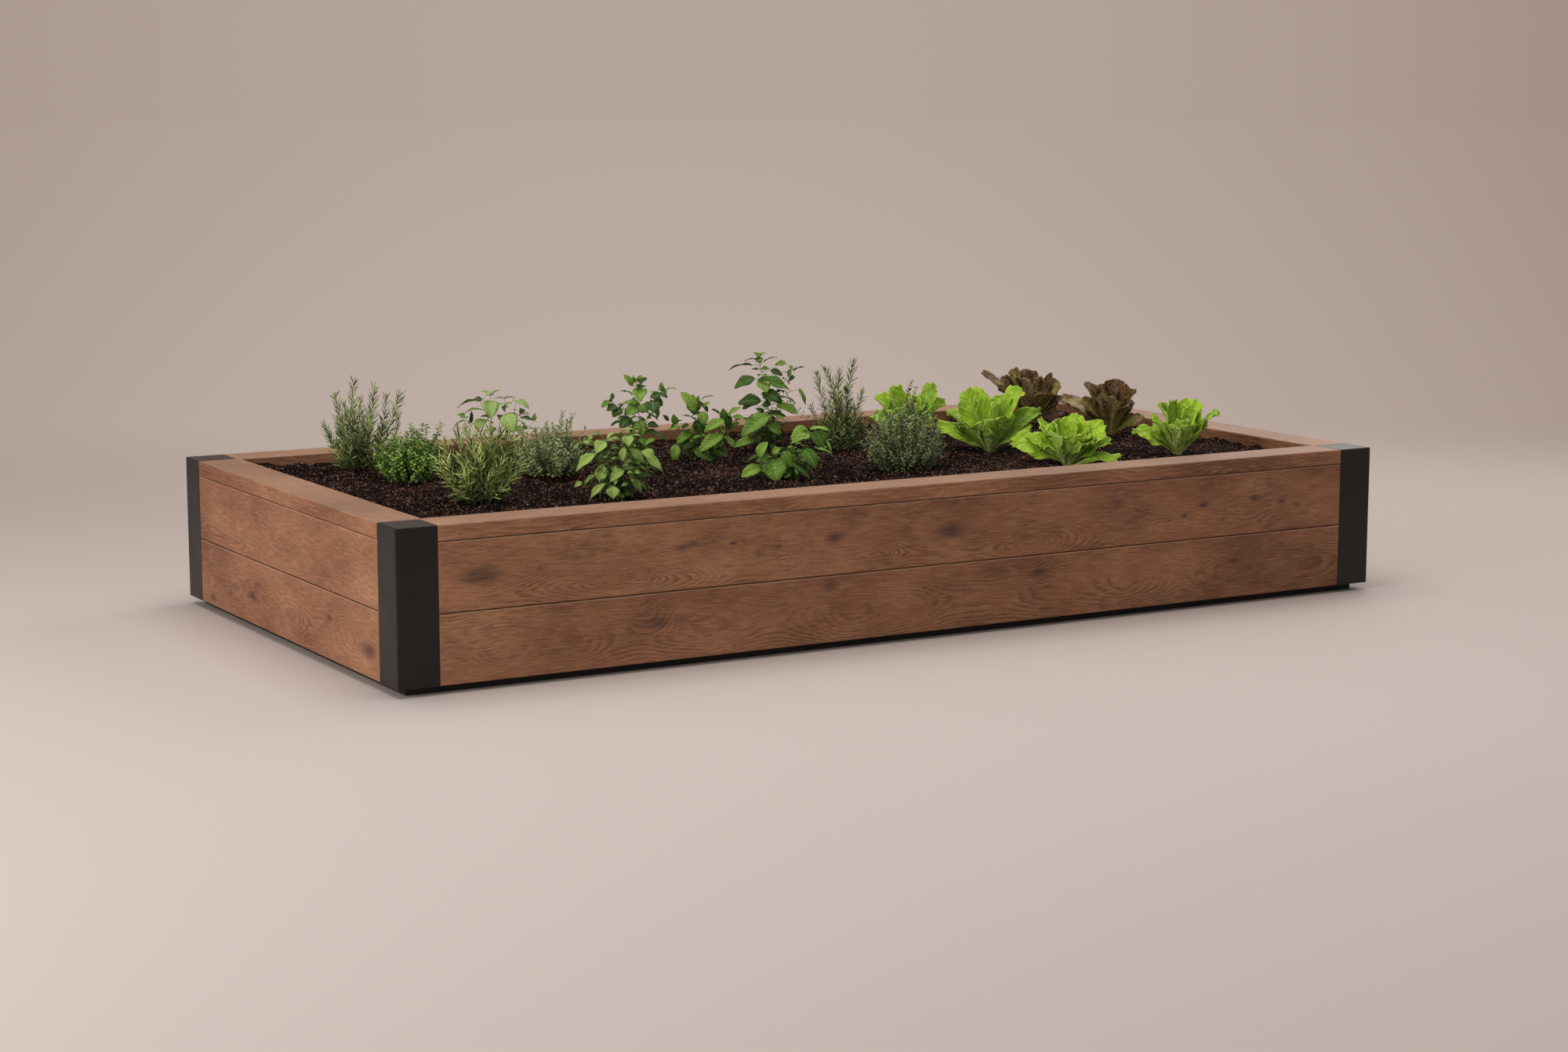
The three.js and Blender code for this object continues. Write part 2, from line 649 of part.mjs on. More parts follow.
function herb(plant) {
  const pieces = [];
  const leafLength = plant.spread * leafy.length;
  for (let i = 0; i < plant.count; i++) {
    const { angle, outward, start } = stemStart(plant, i);
    const reach = (plant.spread / 2 - leafLength * leafy.overhang) * outward;
    const rise = plant.height * (1 - leafy.stoop * outward) - leafThickness;
    const path = (s) => polar(angle, start + (reach - start) * s ** leafy.leanPower, rise * s);
    const radius = (s) => stemDiameter / 2 * (1 - leafy.taper * s);
    pieces.push(stalk(path, radius, leafy.steps, leafy.sides, polar(angle + Math.PI / 2, 1, 0)));
    const pairs = Math.max(leafy.fewestPairs, Math.round(rise / leafLength));
    for (let k = 1; k <= pairs; k++) {
      const s = leafy.lowest + (leafy.highest - leafy.lowest) * k / pairs;
      const heading = angle + k * Math.PI / 2 + vary(i + k, 2) * leafy.unevenTurn;
      const size = leafLength * (leafy.footSize - leafy.shrink * s);
      const room = Math.max(0, path(s).z - lowLeafLift - leafThickness);
      const droop = Math.min(room, size * (leafy.droop + leafy.unevenDroop * vary(k + i, 3)));
      pieces.push(leafPair(path(s), heading, size, size * leafy.breadth, droop));
    }
  }
  return pieces;
}

// A lettuce: broad leaves from one heart, upright inside and leaning out at the rim
const head = { heartHeight: 0.3, heartTaper: 0.8, heartSides: 7, unevenRise: 0.12, from: 0.6, leanPower: 1.4,
  risePower: 1.7, breadth: 1.12, tipNarrowing: 0.5, narrowingPower: 4, cup: 0.3, steps: 3, stepsAcross: 2 };
const outerLayer = { reach: 1, rise: 0.66, from: 0 };
const innerLayer = { reach: 0.46, rise: 1, from: 0.4 };

function lettuce(plant) {
  const heartHeight = plant.height * head.heartHeight;
  const heart = new THREE.CylinderGeometry(
    crownRadius * head.heartTaper, crownRadius, heartHeight, head.heartSides);
  heart.rotateX(Math.PI / 2);
  heart.translate(0, 0, heartHeight / 2 - crownRise);
  const pieces = [heart];
  const inner = Math.floor(plant.count / 2);
  const layers = [{ ...outerLayer, count: plant.count - inner }, { ...innerLayer, count: inner }];
  for (const layer of layers) {
    for (let i = 0; i < layer.count; i++) {
      const angle = plant.turn + layer.from + 2 * Math.PI * i / layer.count;
      const evenness = 1 - head.unevenRise * (1 - vary(i, layer.count));
      const rise = (plant.height - leafThickness) * layer.rise * evenness;
      const reach = (plant.spread / 2 - leafThickness) * layer.reach;
      const foot = crownRadius * head.from;
      const outwards = polar(angle, 1, 0);
      const across = polar(angle + Math.PI / 2, 1, 0);
      const surface = (u, v) => {
        const s = THREE.MathUtils.clamp(u, 0, 1);
        const radius = foot + (reach - foot) * s ** head.leanPower;
        const narrowing = head.breadth - head.tipNarrowing * s ** head.narrowingPower;
        const breadth = radius * Math.sin(Math.PI / layer.count) * narrowing;
        return polar(angle, radius, rise * (1 - (1 - s) ** head.risePower))
          .addScaledVector(across, v * breadth)
          .addScaledVector(outwards, -head.cup * breadth * v * v);
      };
      pieces.push(leafSheet(surface, head.steps, head.stepsAcross, leafThickness));
    }
  }
  return pieces;
}

const growers = { rosemary, bush, herb, lettuce };

// A slab that takes away everything beyond the line half way to a neighbour
function beyondNeighbour(plant, other) {
  const gap = new THREE.Vector2(other.x - plant.x, other.y - plant.y);
  const reach = 4 * Math.max(plant.spread, plant.height) + rootDepth;
  const share = plant.spread / (plant.spread + other.spread);
  const slab = new THREE.BoxGeometry(reach, 2 * reach, 2 * reach);
  slab.translate(gap.length() * share + leafClearance / 2 + reach / 2, 0, 0);
  slab.rotateZ(gap.angle());
  slab.translate(plant.x, plant.y, plant.z);
  return slab;
}

function grow(plant) {
  const turned = { ...plant, turn: THREE.MathUtils.degToRad(plant.turn) };
  const foliage = join(growers[plant.kind](turned)).translate([plant.x, plant.y, plant.z]);
  const neighbours = plants.filter((other) => other !== plant
    && Math.hypot(other.x - plant.x, other.y - plant.y) < plant.spread + other.spread);
  const bounds = box(
    [leafClearance - plantingHalfLength, leafClearance - plantingHalfWidth, plant.z],
    [plantingHalfLength - leafClearance, plantingHalfWidth - leafClearance, plant.z + 2 * plant.height]);
  const slabs = neighbours.map((other) => beyondNeighbour(plant, other));
  const kept = cut(foliage.intersect(toSolid(bounds)), slabs);
  const root = rootBall(plant, rootDiameter / 2, plant.z - rootDepth, plant.z + crownRise);
  return toGeometry(largest(kept.add(toSolid(root))));
}

for (const plant of plants) {
  const colour = plant.name.startsWith('red') ? 'redLettuce' : plant.kind;
  place(plant.name, grow(plant), materials[colour]);
}

export default bed;
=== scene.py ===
"""Looks of a timber raised bed with black steel corner posts, planted with herbs and lettuces.

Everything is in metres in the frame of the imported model: +X along the bed, +Z up, the ground at zero.
"""

import logging
import math
import random
from collections.abc import Callable
from dataclasses import dataclass, field
from enum import Enum

import bmesh
import bpy
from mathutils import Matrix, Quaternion, Vector, noise


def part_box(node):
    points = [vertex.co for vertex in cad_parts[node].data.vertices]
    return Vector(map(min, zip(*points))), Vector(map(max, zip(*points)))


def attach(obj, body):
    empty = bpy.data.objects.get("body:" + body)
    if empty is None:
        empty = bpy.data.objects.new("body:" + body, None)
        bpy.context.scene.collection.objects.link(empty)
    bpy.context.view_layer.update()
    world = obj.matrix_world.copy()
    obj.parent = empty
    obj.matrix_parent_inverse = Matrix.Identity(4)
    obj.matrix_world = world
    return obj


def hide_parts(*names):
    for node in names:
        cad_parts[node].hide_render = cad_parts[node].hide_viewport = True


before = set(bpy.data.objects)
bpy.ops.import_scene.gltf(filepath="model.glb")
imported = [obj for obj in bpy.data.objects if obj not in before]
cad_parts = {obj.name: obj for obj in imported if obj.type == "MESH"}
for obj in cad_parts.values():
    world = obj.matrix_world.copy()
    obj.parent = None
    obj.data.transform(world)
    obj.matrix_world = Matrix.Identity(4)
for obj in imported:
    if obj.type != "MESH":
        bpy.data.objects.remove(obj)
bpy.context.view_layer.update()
log = logging.getLogger("raised_bed")

MM = 0.001
ROOT_DEPTH = 0.060
GOLDEN_TURN = math.pi * (3 - math.sqrt(5))
SCREEN_RIGHT = Vector((0.865, -0.502, 0.0))
SCREEN_AWAY = Vector((0.502, 0.865, 0.0))
CAMERA_DIP = math.radians(8.8375)
CAMERA_PLACE = Vector((-3.3143, -5.7055, 1.1865))
UP = Vector((0.0, 0.0, 1.0))

Colour = tuple[float, float, float]


def paint(red: float, green: float, blue: float) -> Colour:
    """A colour as the eye reads it, from 0 to 255, turned to linear light.

    Args:
        red, green, blue: the three parts, as a screen shows them.

    Returns:
        The linear colour that a shader's socket takes.
    """
    def part(value: float) -> float:
        """One part of the colour in linear light."""
        share = value / 255
        return share / 12.92 if share <= 0.04045 else ((share + 0.055) / 1.055) ** 2.4
    return (part(red), part(green), part(blue))


# Node trees


def arithmetic(operation: str, flipped: bool = False) -> Callable[["Link", "Term"], "Link"]:
    """A method of Link that adds a Math node, with the other value first if it is flipped."""
    def apply(self: "Link", other: "Term") -> "Link":
        """Adds the node."""
        return self.nodes.maths(operation, *((other, self) if flipped else (self, other)))
    return apply


class Link:
    """A node's output, used as a number in Python expressions."""

    __add__ = __radd__ = arithmetic("ADD")
    __sub__ = arithmetic("SUBTRACT")
    __rsub__ = arithmetic("SUBTRACT", flipped=True)
    __mul__ = __rmul__ = arithmetic("MULTIPLY")
    __truediv__ = arithmetic("DIVIDE")
    __pow__ = arithmetic("POWER")

    def __init__(self, nodes: "Nodes", socket: bpy.types.NodeSocket) -> None:
        """Wraps one output of a tree."""
        self.nodes = nodes
        self.socket = socket

    def __abs__(self) -> "Link":
        """The size without its sign."""
        return self.nodes.maths("ABSOLUTE", self)


Term = Link | float
Sockets = dict[int | str, object]


class Nodes:
    """Builds one node tree, of a material, the world or a geometry modifier."""

    def __init__(self, tree: bpy.types.NodeTree) -> None:
        """Takes over a tree and empties it."""
        self.tree = tree
        tree.nodes.clear()

    def node(self, kind: str, sockets: Sockets | None = None, **settings: object) -> bpy.types.Node:
        """Adds a node, sets it up and joins its inputs.

        Args:
            kind: the node's type.
            sockets: values or links of its inputs, by name or number.
            settings: its properties, set first.

        Returns:
            The new node.
        """
        node = self.tree.nodes.new(kind)
        for name, value in settings.items():
            setattr(node, name, value)
        for key, value in (sockets or {}).items():
            for part in value if isinstance(value, list) else [value]:
                self.feed(node.inputs[key], part)
        return node

    def feed(self, socket: bpy.types.NodeSocket, value: object) -> None:
        """Links a value to an input, or sets it there."""
        if isinstance(value, Link):
            self.tree.links.new(value.socket, socket)
        elif socket.type == "RGBA" and len(value) == 3:
            socket.default_value = (*value, 1.0)
        else:
            socket.default_value = value

    def out(self, kind: str, sockets: Sockets | None = None, output: int | str = 0,
            **settings: object) -> Link:
        """Adds a node as node() does and returns one of its outputs."""
        return Link(self, self.node(kind, sockets, **settings).outputs[output])

    def maths(self, operation: str, *values: Term) -> Link:
        """A Math node's result."""
        return self.out("ShaderNodeMath", dict(enumerate(values)), operation=operation)

    def ease(self, value: Term, low: float, high: float) -> Link:
        """A smooth step from 0 at low to 1 at high."""
        return self.out("ShaderNodeMapRange", {"Value": value, "From Min": low, "From Max": high},
                        interpolation_type="SMOOTHSTEP")

    def blend(self, share: Term, first: object, second: object) -> Link:
        """Two colours mixed by a share, from the first at 0 to the second at 1."""
        return self.out("ShaderNodeMix", {0: share, 6: first, 7: second}, 2, data_type="RGBA")

    def layers(self, colour: object, *coats: tuple[Term, object]) -> Link:
        """A colour with others laid over it in turn, each by its share."""
        for share, coat in coats:
            colour = self.blend(share, colour, coat)
        return colour

    def place(self) -> Link:
        """Where a point lies, in metres from the origin."""
        return self.out("ShaderNodeTexCoord", output="Object")

    def on_leaf(self) -> tuple[Link, Link]:
        """How far a point lies across a leaf, from its rib at 0 to its edge at 1, and along it."""
        side, along, _ = self.split(self.out("ShaderNodeUVMap", uv_map="UVMap"))
        return abs(side * 2 - 1), along

    def limited(self, value: Link, low: float, high: float) -> Link:
        """A number held between two others."""
        return self.maths("MINIMUM", self.maths("MAXIMUM", value, low), high)

    def principled(self, colour: object, roughness: Term, sockets: Sockets) -> Link:
        """A surface's shader, from its colour, its roughness and what else it has."""
        return self.out("ShaderNodeBsdfPrincipled", {
            "Base Color": colour, "Roughness": roughness, **sockets})

    def split(self, vector: Link) -> list[Link]:
        """The three parts of a vector."""
        node = self.node("ShaderNodeSeparateXYZ", {0: vector})
        return [Link(self, socket) for socket in node.outputs]

    def stretch(self, vector: Link, scale: tuple[float, float, float], shift: float = 0.0) -> Link:
        """A vector scaled along each axis, and moved the same way along all three."""
        return self.out("ShaderNodeVectorMath", {0: vector, 1: scale, 2: (shift, shift, shift)},
                        operation="MULTIPLY_ADD")

    def cloud(self, vector: Link, scale: float, detail: float = 2.0, roughness: float = 0.5) -> Link:
        """Noise from 0 to 1 in space."""
        return self.out("ShaderNodeTexNoise", {
            "Vector": vector, "Scale": scale, "Detail": detail, "Roughness": roughness})

    def ripple(self, value: Link, scale: float, shift: float) -> Link:
        """Noise from 0 to 1 along one number."""
        return self.out("ShaderNodeTexNoise", {"W": value * scale + shift, "Scale": 1.0, "Detail": 1.0},
                        noise_dimensions="1D")

    def attribute(self, name: str) -> Link:
        """A number stored on the mesh."""
        return self.out("ShaderNodeAttribute", output="Fac", attribute_name=name)

    def bump(self, height: Link, depth: float, strength: float = 1.0) -> Link:
        """A normal tilted by a height from 0 to 1, which stands for that depth in metres."""
        return self.out("ShaderNodeBump", {"Strength": strength, "Distance": depth, "Height": height})


class Finish:
    """A surface's look. A subclass is a frozen dataclass with a name and a shade method."""

    name: str

    def shade(self, nodes: Nodes) -> Link:
        """Builds the surface and returns its shader."""
        raise NotImplementedError

    def material(self) -> bpy.types.Material:
        """The material, made the first time that it is asked for."""
        found = bpy.data.materials.get(self.name)
        if found:
            return found
        material = bpy.data.materials.new(self.name)
        material.use_nodes = True
        nodes = Nodes(material.node_tree)
        nodes.node("ShaderNodeOutputMaterial", {"Surface": self.shade(nodes)})
        return material

    def dress(self, node: str) -> None:
        """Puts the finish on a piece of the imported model."""
        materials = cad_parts[node].data.materials
        materials.clear()
        materials.append(self.material())


class Run(Enum):
    """Which way a board runs."""

    ALONG = "along the bed"
    ACROSS = "across the bed"


@dataclass(frozen=True)
class Knot:
    """A knot on a board's face: its place along the run, its height, and its size, in metres."""

    along: float
    height: float
    size: float


@dataclass(frozen=True)
class Timber(Finish):
    """Brown-stained oak with rings, rays, pores, knots and smudges, cut from a log round its pith."""

    name: str
    run: Run
    face: float
    pith: tuple[float, float]
    seed: float
    knots: tuple[Knot, ...] = ()
    lower_pith: tuple[float, float] | None = None
    stave_top: float = 0.0
    seams: tuple[float, ...] = ()
    # The height of the rail's top, where the painted sheen lies.
    sheen_top: float = 1.0
    ring: float = 0.0034
    contrast: float = 0.42
    squash: float = 0.45
    wander: float = 0.012
    sway: float = 0.030
    stave_sway: float = 0.13
    smoky: float = 0.42
    pale: Colour = paint(188, 137, 100)
    middle: Colour = paint(158, 108, 76)
    dark: Colour = paint(120, 76, 51)
    line: Colour = paint(78, 48, 34)
    smudge: Colour = paint(78, 54, 47)
    # Painted shade: this dark colour is laid along the joints between boards, standing for the shadow in
    # their gaps.
    joint: Colour = paint(52, 30, 20)
    # Painted highlight: this pale colour is laid on the rail's top and on the arrises under the joints,
    # where light catches them.
    painted_highlight: Colour = paint(206, 172, 146)

    def radius(self, nodes: Nodes, along: Link, depth: Link, height: Link,
               pith: tuple[float, float], sway: float, shift: float) -> Link:
        """How far a point lies from a pith that wanders along the board.

        Args:
            nodes: the tree.
            along, depth, height: the point.
            pith: the pith's height, and how far outside the face it lies.
            sway: how far it swings in and out.
            shift: what sets this stave's wandering apart.

        Returns:
            The distance in metres.
        """
        outside = self.face + math.copysign(pith[1], self.face)
        rise = (nodes.ripple(along, 2.6, shift) - 0.5) * self.wander + pith[0]
        swing = (nodes.ripple(along, 3.4, shift + 40) - 0.5) * sway + outside
        across = height - rise
        away = depth - swing
        return nodes.maths("SQRT", across * across + away * away)

    def growth(self, nodes: Nodes, along: Link, depth: Link, height: Link) -> Link:
        """How far out in its log a point grew. A board of two staves has another log at its foot."""
        upper = self.radius(nodes, along, depth, height, self.pith, self.sway, self.seed)
        if not self.lower_pith:
            return upper
        lower = self.radius(nodes, along, depth, height, self.lower_pith, self.stave_sway, self.seed + 9)
        edge = height + (nodes.ripple(along, 6.0, self.seed) - 0.5) * 0.006
        share = nodes.ease(edge, self.stave_top - 0.0012, self.stave_top + 0.0012)
        return lower * 0.75 + share * (upper * 1.5 - lower * 0.75)

    def near_knots(self, nodes: Nodes, along: Link, height: Link) -> tuple[Term, Term]:
        """How far the knots push the rings aside, in metres, and how deep in a knot a point lies."""
        swirl: Term = 0.0
        core: Term = 0.0
        flat = nodes.out("ShaderNodeCombineXYZ", {0: along * self.squash, 1: height})
        for knot in self.knots:
            centre = (knot.along * self.squash, knot.height, 0.0)
            reach = nodes.out("ShaderNodeVectorMath", {0: flat, 1: centre}, "Value", operation="DISTANCE")
            swirl = nodes.ease(reach, knot.size * 2.6, 0.0) * (knot.size * 0.6) + swirl
            core = nodes.ease(reach, knot.size * 1.25, 0.0) + core
        return swirl, core

    def marked(self, nodes: Nodes, colour: Link, fibres: Link, core: Term, height: Link) -> Link:
        """The wood's colour with the knots' stain over it, and along each joint painted shade in the gap
        and a painted highlight on the arris just under it.

        Args:
            nodes: the tree.
            colour: the colour without them.
            fibres: the place, stretched along the grain.
            core: how deep in a knot a point lies.
            height: how high it lies.

        Returns:
            The colour with them.
        """
        if self.knots:
            ragged = nodes.cloud(nodes.stretch(fibres, (0.2, 0.2, 0.2)), 14.0, 4.0, 0.7) * 2.6 - 0.45
            stain = nodes.maths("MINIMUM", core * nodes.maths("MAXIMUM", ragged, 0.1), 0.9)
            colour = nodes.blend(stain, colour, self.smudge)
        # Along each joint: a painted highlight on the arris just under it, and painted shade in the gap.
        for seam in self.seams:
            arris_highlight = nodes.ease(abs(height - seam + 0.0028), 0.0014, 0.0006)
            gap_shade = nodes.ease(abs(height - seam), 0.0015, 0.0006)
            colour = nodes.layers(colour, (arris_highlight * 0.28, self.painted_highlight), (gap_shade * 0.80, self.joint))
        return colour

    def shade(self, nodes: Nodes) -> Link:
        """Builds the wood."""
        place = nodes.place()
        x, y, height = nodes.split(place)
        along, depth = (x, y) if self.run is Run.ALONG else (y, x)
        grain = (2.4, 30.0, 30.0) if self.run is Run.ALONG else (30.0, 2.4, 30.0)
        fibres = nodes.stretch(place, grain, self.seed)
        rings = self.growth(nodes, along, depth, height)
        swirl, core = self.near_knots(nodes, along, height)
        waver = (nodes.cloud(fibres, 0.5, 2.0) - 0.5) * 0.012
        jitter = (nodes.cloud(fibres, 4.0, 3.0) - 0.5) * 0.0026
        phase = nodes.maths("FRACT", (rings + swirl + waver + jitter) / self.ring)
        late = nodes.ease(phase, 0.25, 0.88) * nodes.ease(phase, 1.0, 0.90)
        patches = nodes.cloud(nodes.stretch(place, (1.0, 1.0, 3.0), self.seed + 2), 5.0, 2.0)
        figure = nodes.ease(patches, 0.40, 0.66)
        broken = nodes.ease(nodes.cloud(fibres, 14.0, 2.0, 0.6), 0.25, 0.65)
        lines = late * (figure * 0.85 + 0.15) * (broken * 0.6 + 0.4) * self.contrast * 1.7
        streak = nodes.cloud(fibres, 9.0, 3.0, 0.62)
        fibre = nodes.cloud(nodes.stretch(fibres, (1.0, 1.0, 1.0), 3.0), 15.0, 4.0, 0.68)
        pores = nodes.ease(nodes.cloud(fibres, 21.0, 2.0), 0.56, 0.68)
        tone = nodes.cloud(nodes.stretch(place, (1.0, 1.0, 2.2), self.seed + 5), 3.6, 4.0, 0.6)
        # Painted shade: the wood is painted darker the farther along its run it lies, towards the right on
        # the front boards, standing for the light that falls off there.
        tone = tone - along * 0.07
        smoke = nodes.cloud(nodes.stretch(place, (1.0, 1.0, 2.0), self.seed), 6.0, 4.0, 0.6)
        smoke = nodes.ease(smoke * 0.7 + streak * 0.3, 0.54, 0.68)
        # Painted sheen: the rail's top face is painted paler, standing for the sheen of light that falls
        # across it.
        top_sheen = nodes.ease(height, self.sheen_top - 0.004, self.sheen_top - 0.0005)
        colour = nodes.layers(
            self.dark,
            (nodes.ease(tone, 0.26, 0.56), self.middle), (nodes.ease(tone, 0.50, 0.75) * 0.7, self.pale),
            (nodes.ease(streak, 0.46, 0.66) * 0.42, self.dark),
            (nodes.ease(streak, 0.50, 0.34) * 0.34, self.pale),
            (nodes.ease(fibre, 0.42, 0.72) * 0.50, self.dark),
            (nodes.ease(fibre, 0.46, 0.25) * 0.35, self.pale),
            (lines, self.line), (pores * 0.32, self.line), (smoke * self.smoky, self.smudge),
            (top_sheen * 0.20, self.painted_highlight))
        colour = self.marked(nodes, colour, fibres, core, height)
        relief = 0.6 - lines * 0.6 - pores * 0.6 + fibre * 0.6
        return nodes.principled(colour, lines * 0.15 + fibre * 0.15 + 0.48, {
            "Specular IOR Level": 0.35, "Normal": nodes.bump(relief, 0.0005, 0.6)})


@dataclass(frozen=True)
class PowderCoat(Finish):
    """Black powder coat on steel: matt, faintly pebbled, a little rubbed along the upright edges."""

    name: str
    centre: tuple[float, float]
    half: float
    coat: Colour = paint(9, 6, 4)
    rubbed: Colour = paint(54, 46, 40)

    def shade(self, nodes: Nodes) -> Link:
        """Builds the coat."""
        place = nodes.place()
        x, y, _ = nodes.split(place)
        corner = nodes.maths("MINIMUM", abs(x - self.centre[0]), abs(y - self.centre[1]))
        edge = nodes.ease(corner, self.half - 0.0030, self.half - 0.0005)
        wear = nodes.ease(nodes.cloud(place, 60.0, 3.0), 0.45, 0.65)
        dust = nodes.cloud(place, 14.0, 4.0, 0.6)
        colour = nodes.layers(self.coat, (edge * (wear * 0.6 + 0.15), self.rubbed),
                              (nodes.ease(dust, 0.45, 0.8) * 0.12, self.rubbed))
        pebble = nodes.cloud(place, 900.0, 2.0)
        return nodes.principled(colour, dust * 0.16 + 0.34, {
            "Specular IOR Level": 0.42, "Normal": nodes.bump(pebble, 0.0002, 0.35)})


@dataclass(frozen=True)
class SawnTimber(Finish):
    """Rough-sawn timber that the soil hides: plain stripes of grain under its stain."""

    name: str
    pale: Colour
    dark: Colour
    grain: tuple[float, float, float]

    def shade(self, nodes: Nodes) -> Link:
        """Builds the wood."""
        place = nodes.place()
        stripes = nodes.cloud(nodes.stretch(place, self.grain), 30.0, 4.0, 0.6)
        blotch = nodes.cloud(place, 7.0, 3.0)
        colour = nodes.layers(self.dark, (nodes.ease(stripes, 0.3, 0.7), self.pale),
                              (nodes.ease(blotch, 0.4, 0.8) * 0.4, self.dark))
        return nodes.principled(colour, stripes * 0.2 + 0.7, {"Normal": nodes.bump(stripes, 0.0008, 0.6)})


@dataclass(frozen=True)
class Plastic(Finish):
    """Dimpled black drainage sheet."""

    name: str
    colour: Colour = paint(34, 36, 38)
    scuff: Colour = paint(70, 68, 64)

    def shade(self, nodes: Nodes) -> Link:
        """Builds the sheet."""
        place = nodes.place()
        dimples = nodes.out("ShaderNodeTexVoronoi", {"Vector": place, "Scale": 70.0})
        scuffs = nodes.ease(nodes.cloud(place, 25.0, 5.0, 0.7), 0.55, 0.8)
        return nodes.principled(nodes.blend(scuffs * 0.5, self.colour, self.scuff), scuffs * 0.3 + 0.42, {
            "Normal": nodes.bump(nodes.ease(dimples, 0.1, 0.6), 0.001, 0.7)})


@dataclass(frozen=True)
class Compost(Finish):
    """Dark potting compost, reddish where it is dry, with painted shade in the hollows between its crumbs.
    A crumb takes its shade from its tone.
    """

    name: str
    damp_and_shade: Colour = paint(18, 10, 8)
    dry: Colour = paint(136, 92, 77)
    bark: Colour = paint(150, 114, 92)

    def shade(self, nodes: Nodes) -> Link:
        """Builds the compost."""
        place = nodes.place()
        tone = nodes.attribute("tone")
        fine = nodes.cloud(place, 230.0, 4.0, 0.75)
        crumbs = nodes.out("ShaderNodeTexVoronoi", {"Vector": place, "Scale": 210.0})
        broad = nodes.cloud(place, 8.0, 3.0)
        # Painted shade: the colour is darker towards the edges of the crumb cells, where the bump's hollows
        # lie.
        share = nodes.ease(tone * 0.8 + fine * 0.8 + broad * 0.5 - crumbs * 0.3, 0.70, 1.30)
        colour = nodes.layers(self.damp_and_shade, (share, self.dry), (nodes.ease(tone, 0.94, 0.98) * 0.8, self.bark))
        return nodes.principled(colour, fine * 0.2 + 0.75, {
            "Specular IOR Level": 0.06, "Normal": nodes.bump(fine - crumbs * 0.8, 0.003)})


@dataclass(frozen=True)
class Grit(Finish):
    """Pale mineral specks in the compost."""

    name: str
    pale: Colour = paint(212, 190, 172)
    stained: Colour = paint(112, 82, 68)

    def shade(self, nodes: Nodes) -> Link:
        """Builds the specks."""
        place = nodes.place()
        stain = nodes.cloud(place, 400.0, 2.0)
        share = nodes.ease(nodes.attribute("tone") * 0.8 + stain * 0.4, 0.35, 0.9)
        return nodes.principled(nodes.blend(share, self.pale, self.stained), stain * 0.2 + 0.6, {})


@dataclass(frozen=True)
class LeafSkin(Finish):
    """A herb's leaves: greener with age, paler underneath, with a midrib and side veins, and painted shade
    that darkens them low on their stems.
    """

    name: str
    old: Colour
    young: Colour
    under: Colour
    vein: Colour
    veins: float = 6.0
    show: float = 0.35
    quilt: float = 0.0006
    rough: float = 0.52
    # Painted shade: the darkest colour, which leaves low in the plant and dark-toned leaves take, stands
    # for the shade inside the plant.
    dark: Colour = paint(44, 62, 26)
    # How much darker leaves low on their stems are painted, as painted shade and as age.
    climb: float = 0.55
    mixed: float = 0.55

    def shade(self, nodes: Nodes) -> Link:
        """Builds the leaf."""
        place = nodes.place()
        across, along = nodes.on_leaf()
        rib = nodes.ease(across, 0.14, 0.02)
        phase = nodes.maths("PINGPONG", (along * 1.3 - across * 0.32) * self.veins, 0.5)
        lateral = nodes.ease(phase, 0.16, 0.02) * nodes.ease(across, 1.0, 0.7)
        veins = nodes.maths("MAXIMUM", rib, lateral * 0.7) if self.veins else rib
        mottle = nodes.cloud(place, 160.0, 2.0)
        tone = nodes.ease(nodes.attribute("tone"), 0.12, 0.88)
        # Painted shade: leaves lower on their stems are painted darker, standing for the shade inside the
        # plant as well as for age.
        age_and_shade = nodes.attribute("along") * self.climb + tone * self.mixed + (mottle - 0.5) * 0.5
        colour = nodes.layers(
            self.dark, (nodes.ease(age_and_shade, 0.0, 0.55), self.old), (nodes.ease(age_and_shade, 0.35, 1.05), self.young),
            (veins * self.show, self.vein), (nodes.attribute("under") * 0.6, self.under))
        pillow = nodes.ease(phase, 0.0, 0.35) * nodes.ease(across, 0.0, 0.25)
        return nodes.principled(colour, mottle * 0.15 + self.rough - 0.05, {
            "Specular IOR Level": 0.30, "Subsurface Weight": 0.10, "Subsurface Radius": (0.5, 1.0, 0.2),
            "Subsurface Scale": 0.003, "Normal": nodes.bump(pillow + mottle * 0.3, self.quilt, 0.8)})


@dataclass(frozen=True)
class StemSkin(Finish):
    """Stems that are woody at the foot and green at the tip."""

    name: str
    wood: Colour
    green: Colour

    def shade(self, nodes: Nodes) -> Link:
        """Builds the stem."""
        place = nodes.place()
        streak = nodes.cloud(nodes.stretch(place, (1.0, 1.0, 0.2)), 500.0, 2.0)
        share = nodes.ease(nodes.attribute("along") + streak * 0.3, 0.2, 0.75)
        return nodes.principled(nodes.blend(share, self.wood, self.green), streak * 0.2 + 0.5, {
            "Normal": nodes.bump(streak, 0.0004, 0.6)})


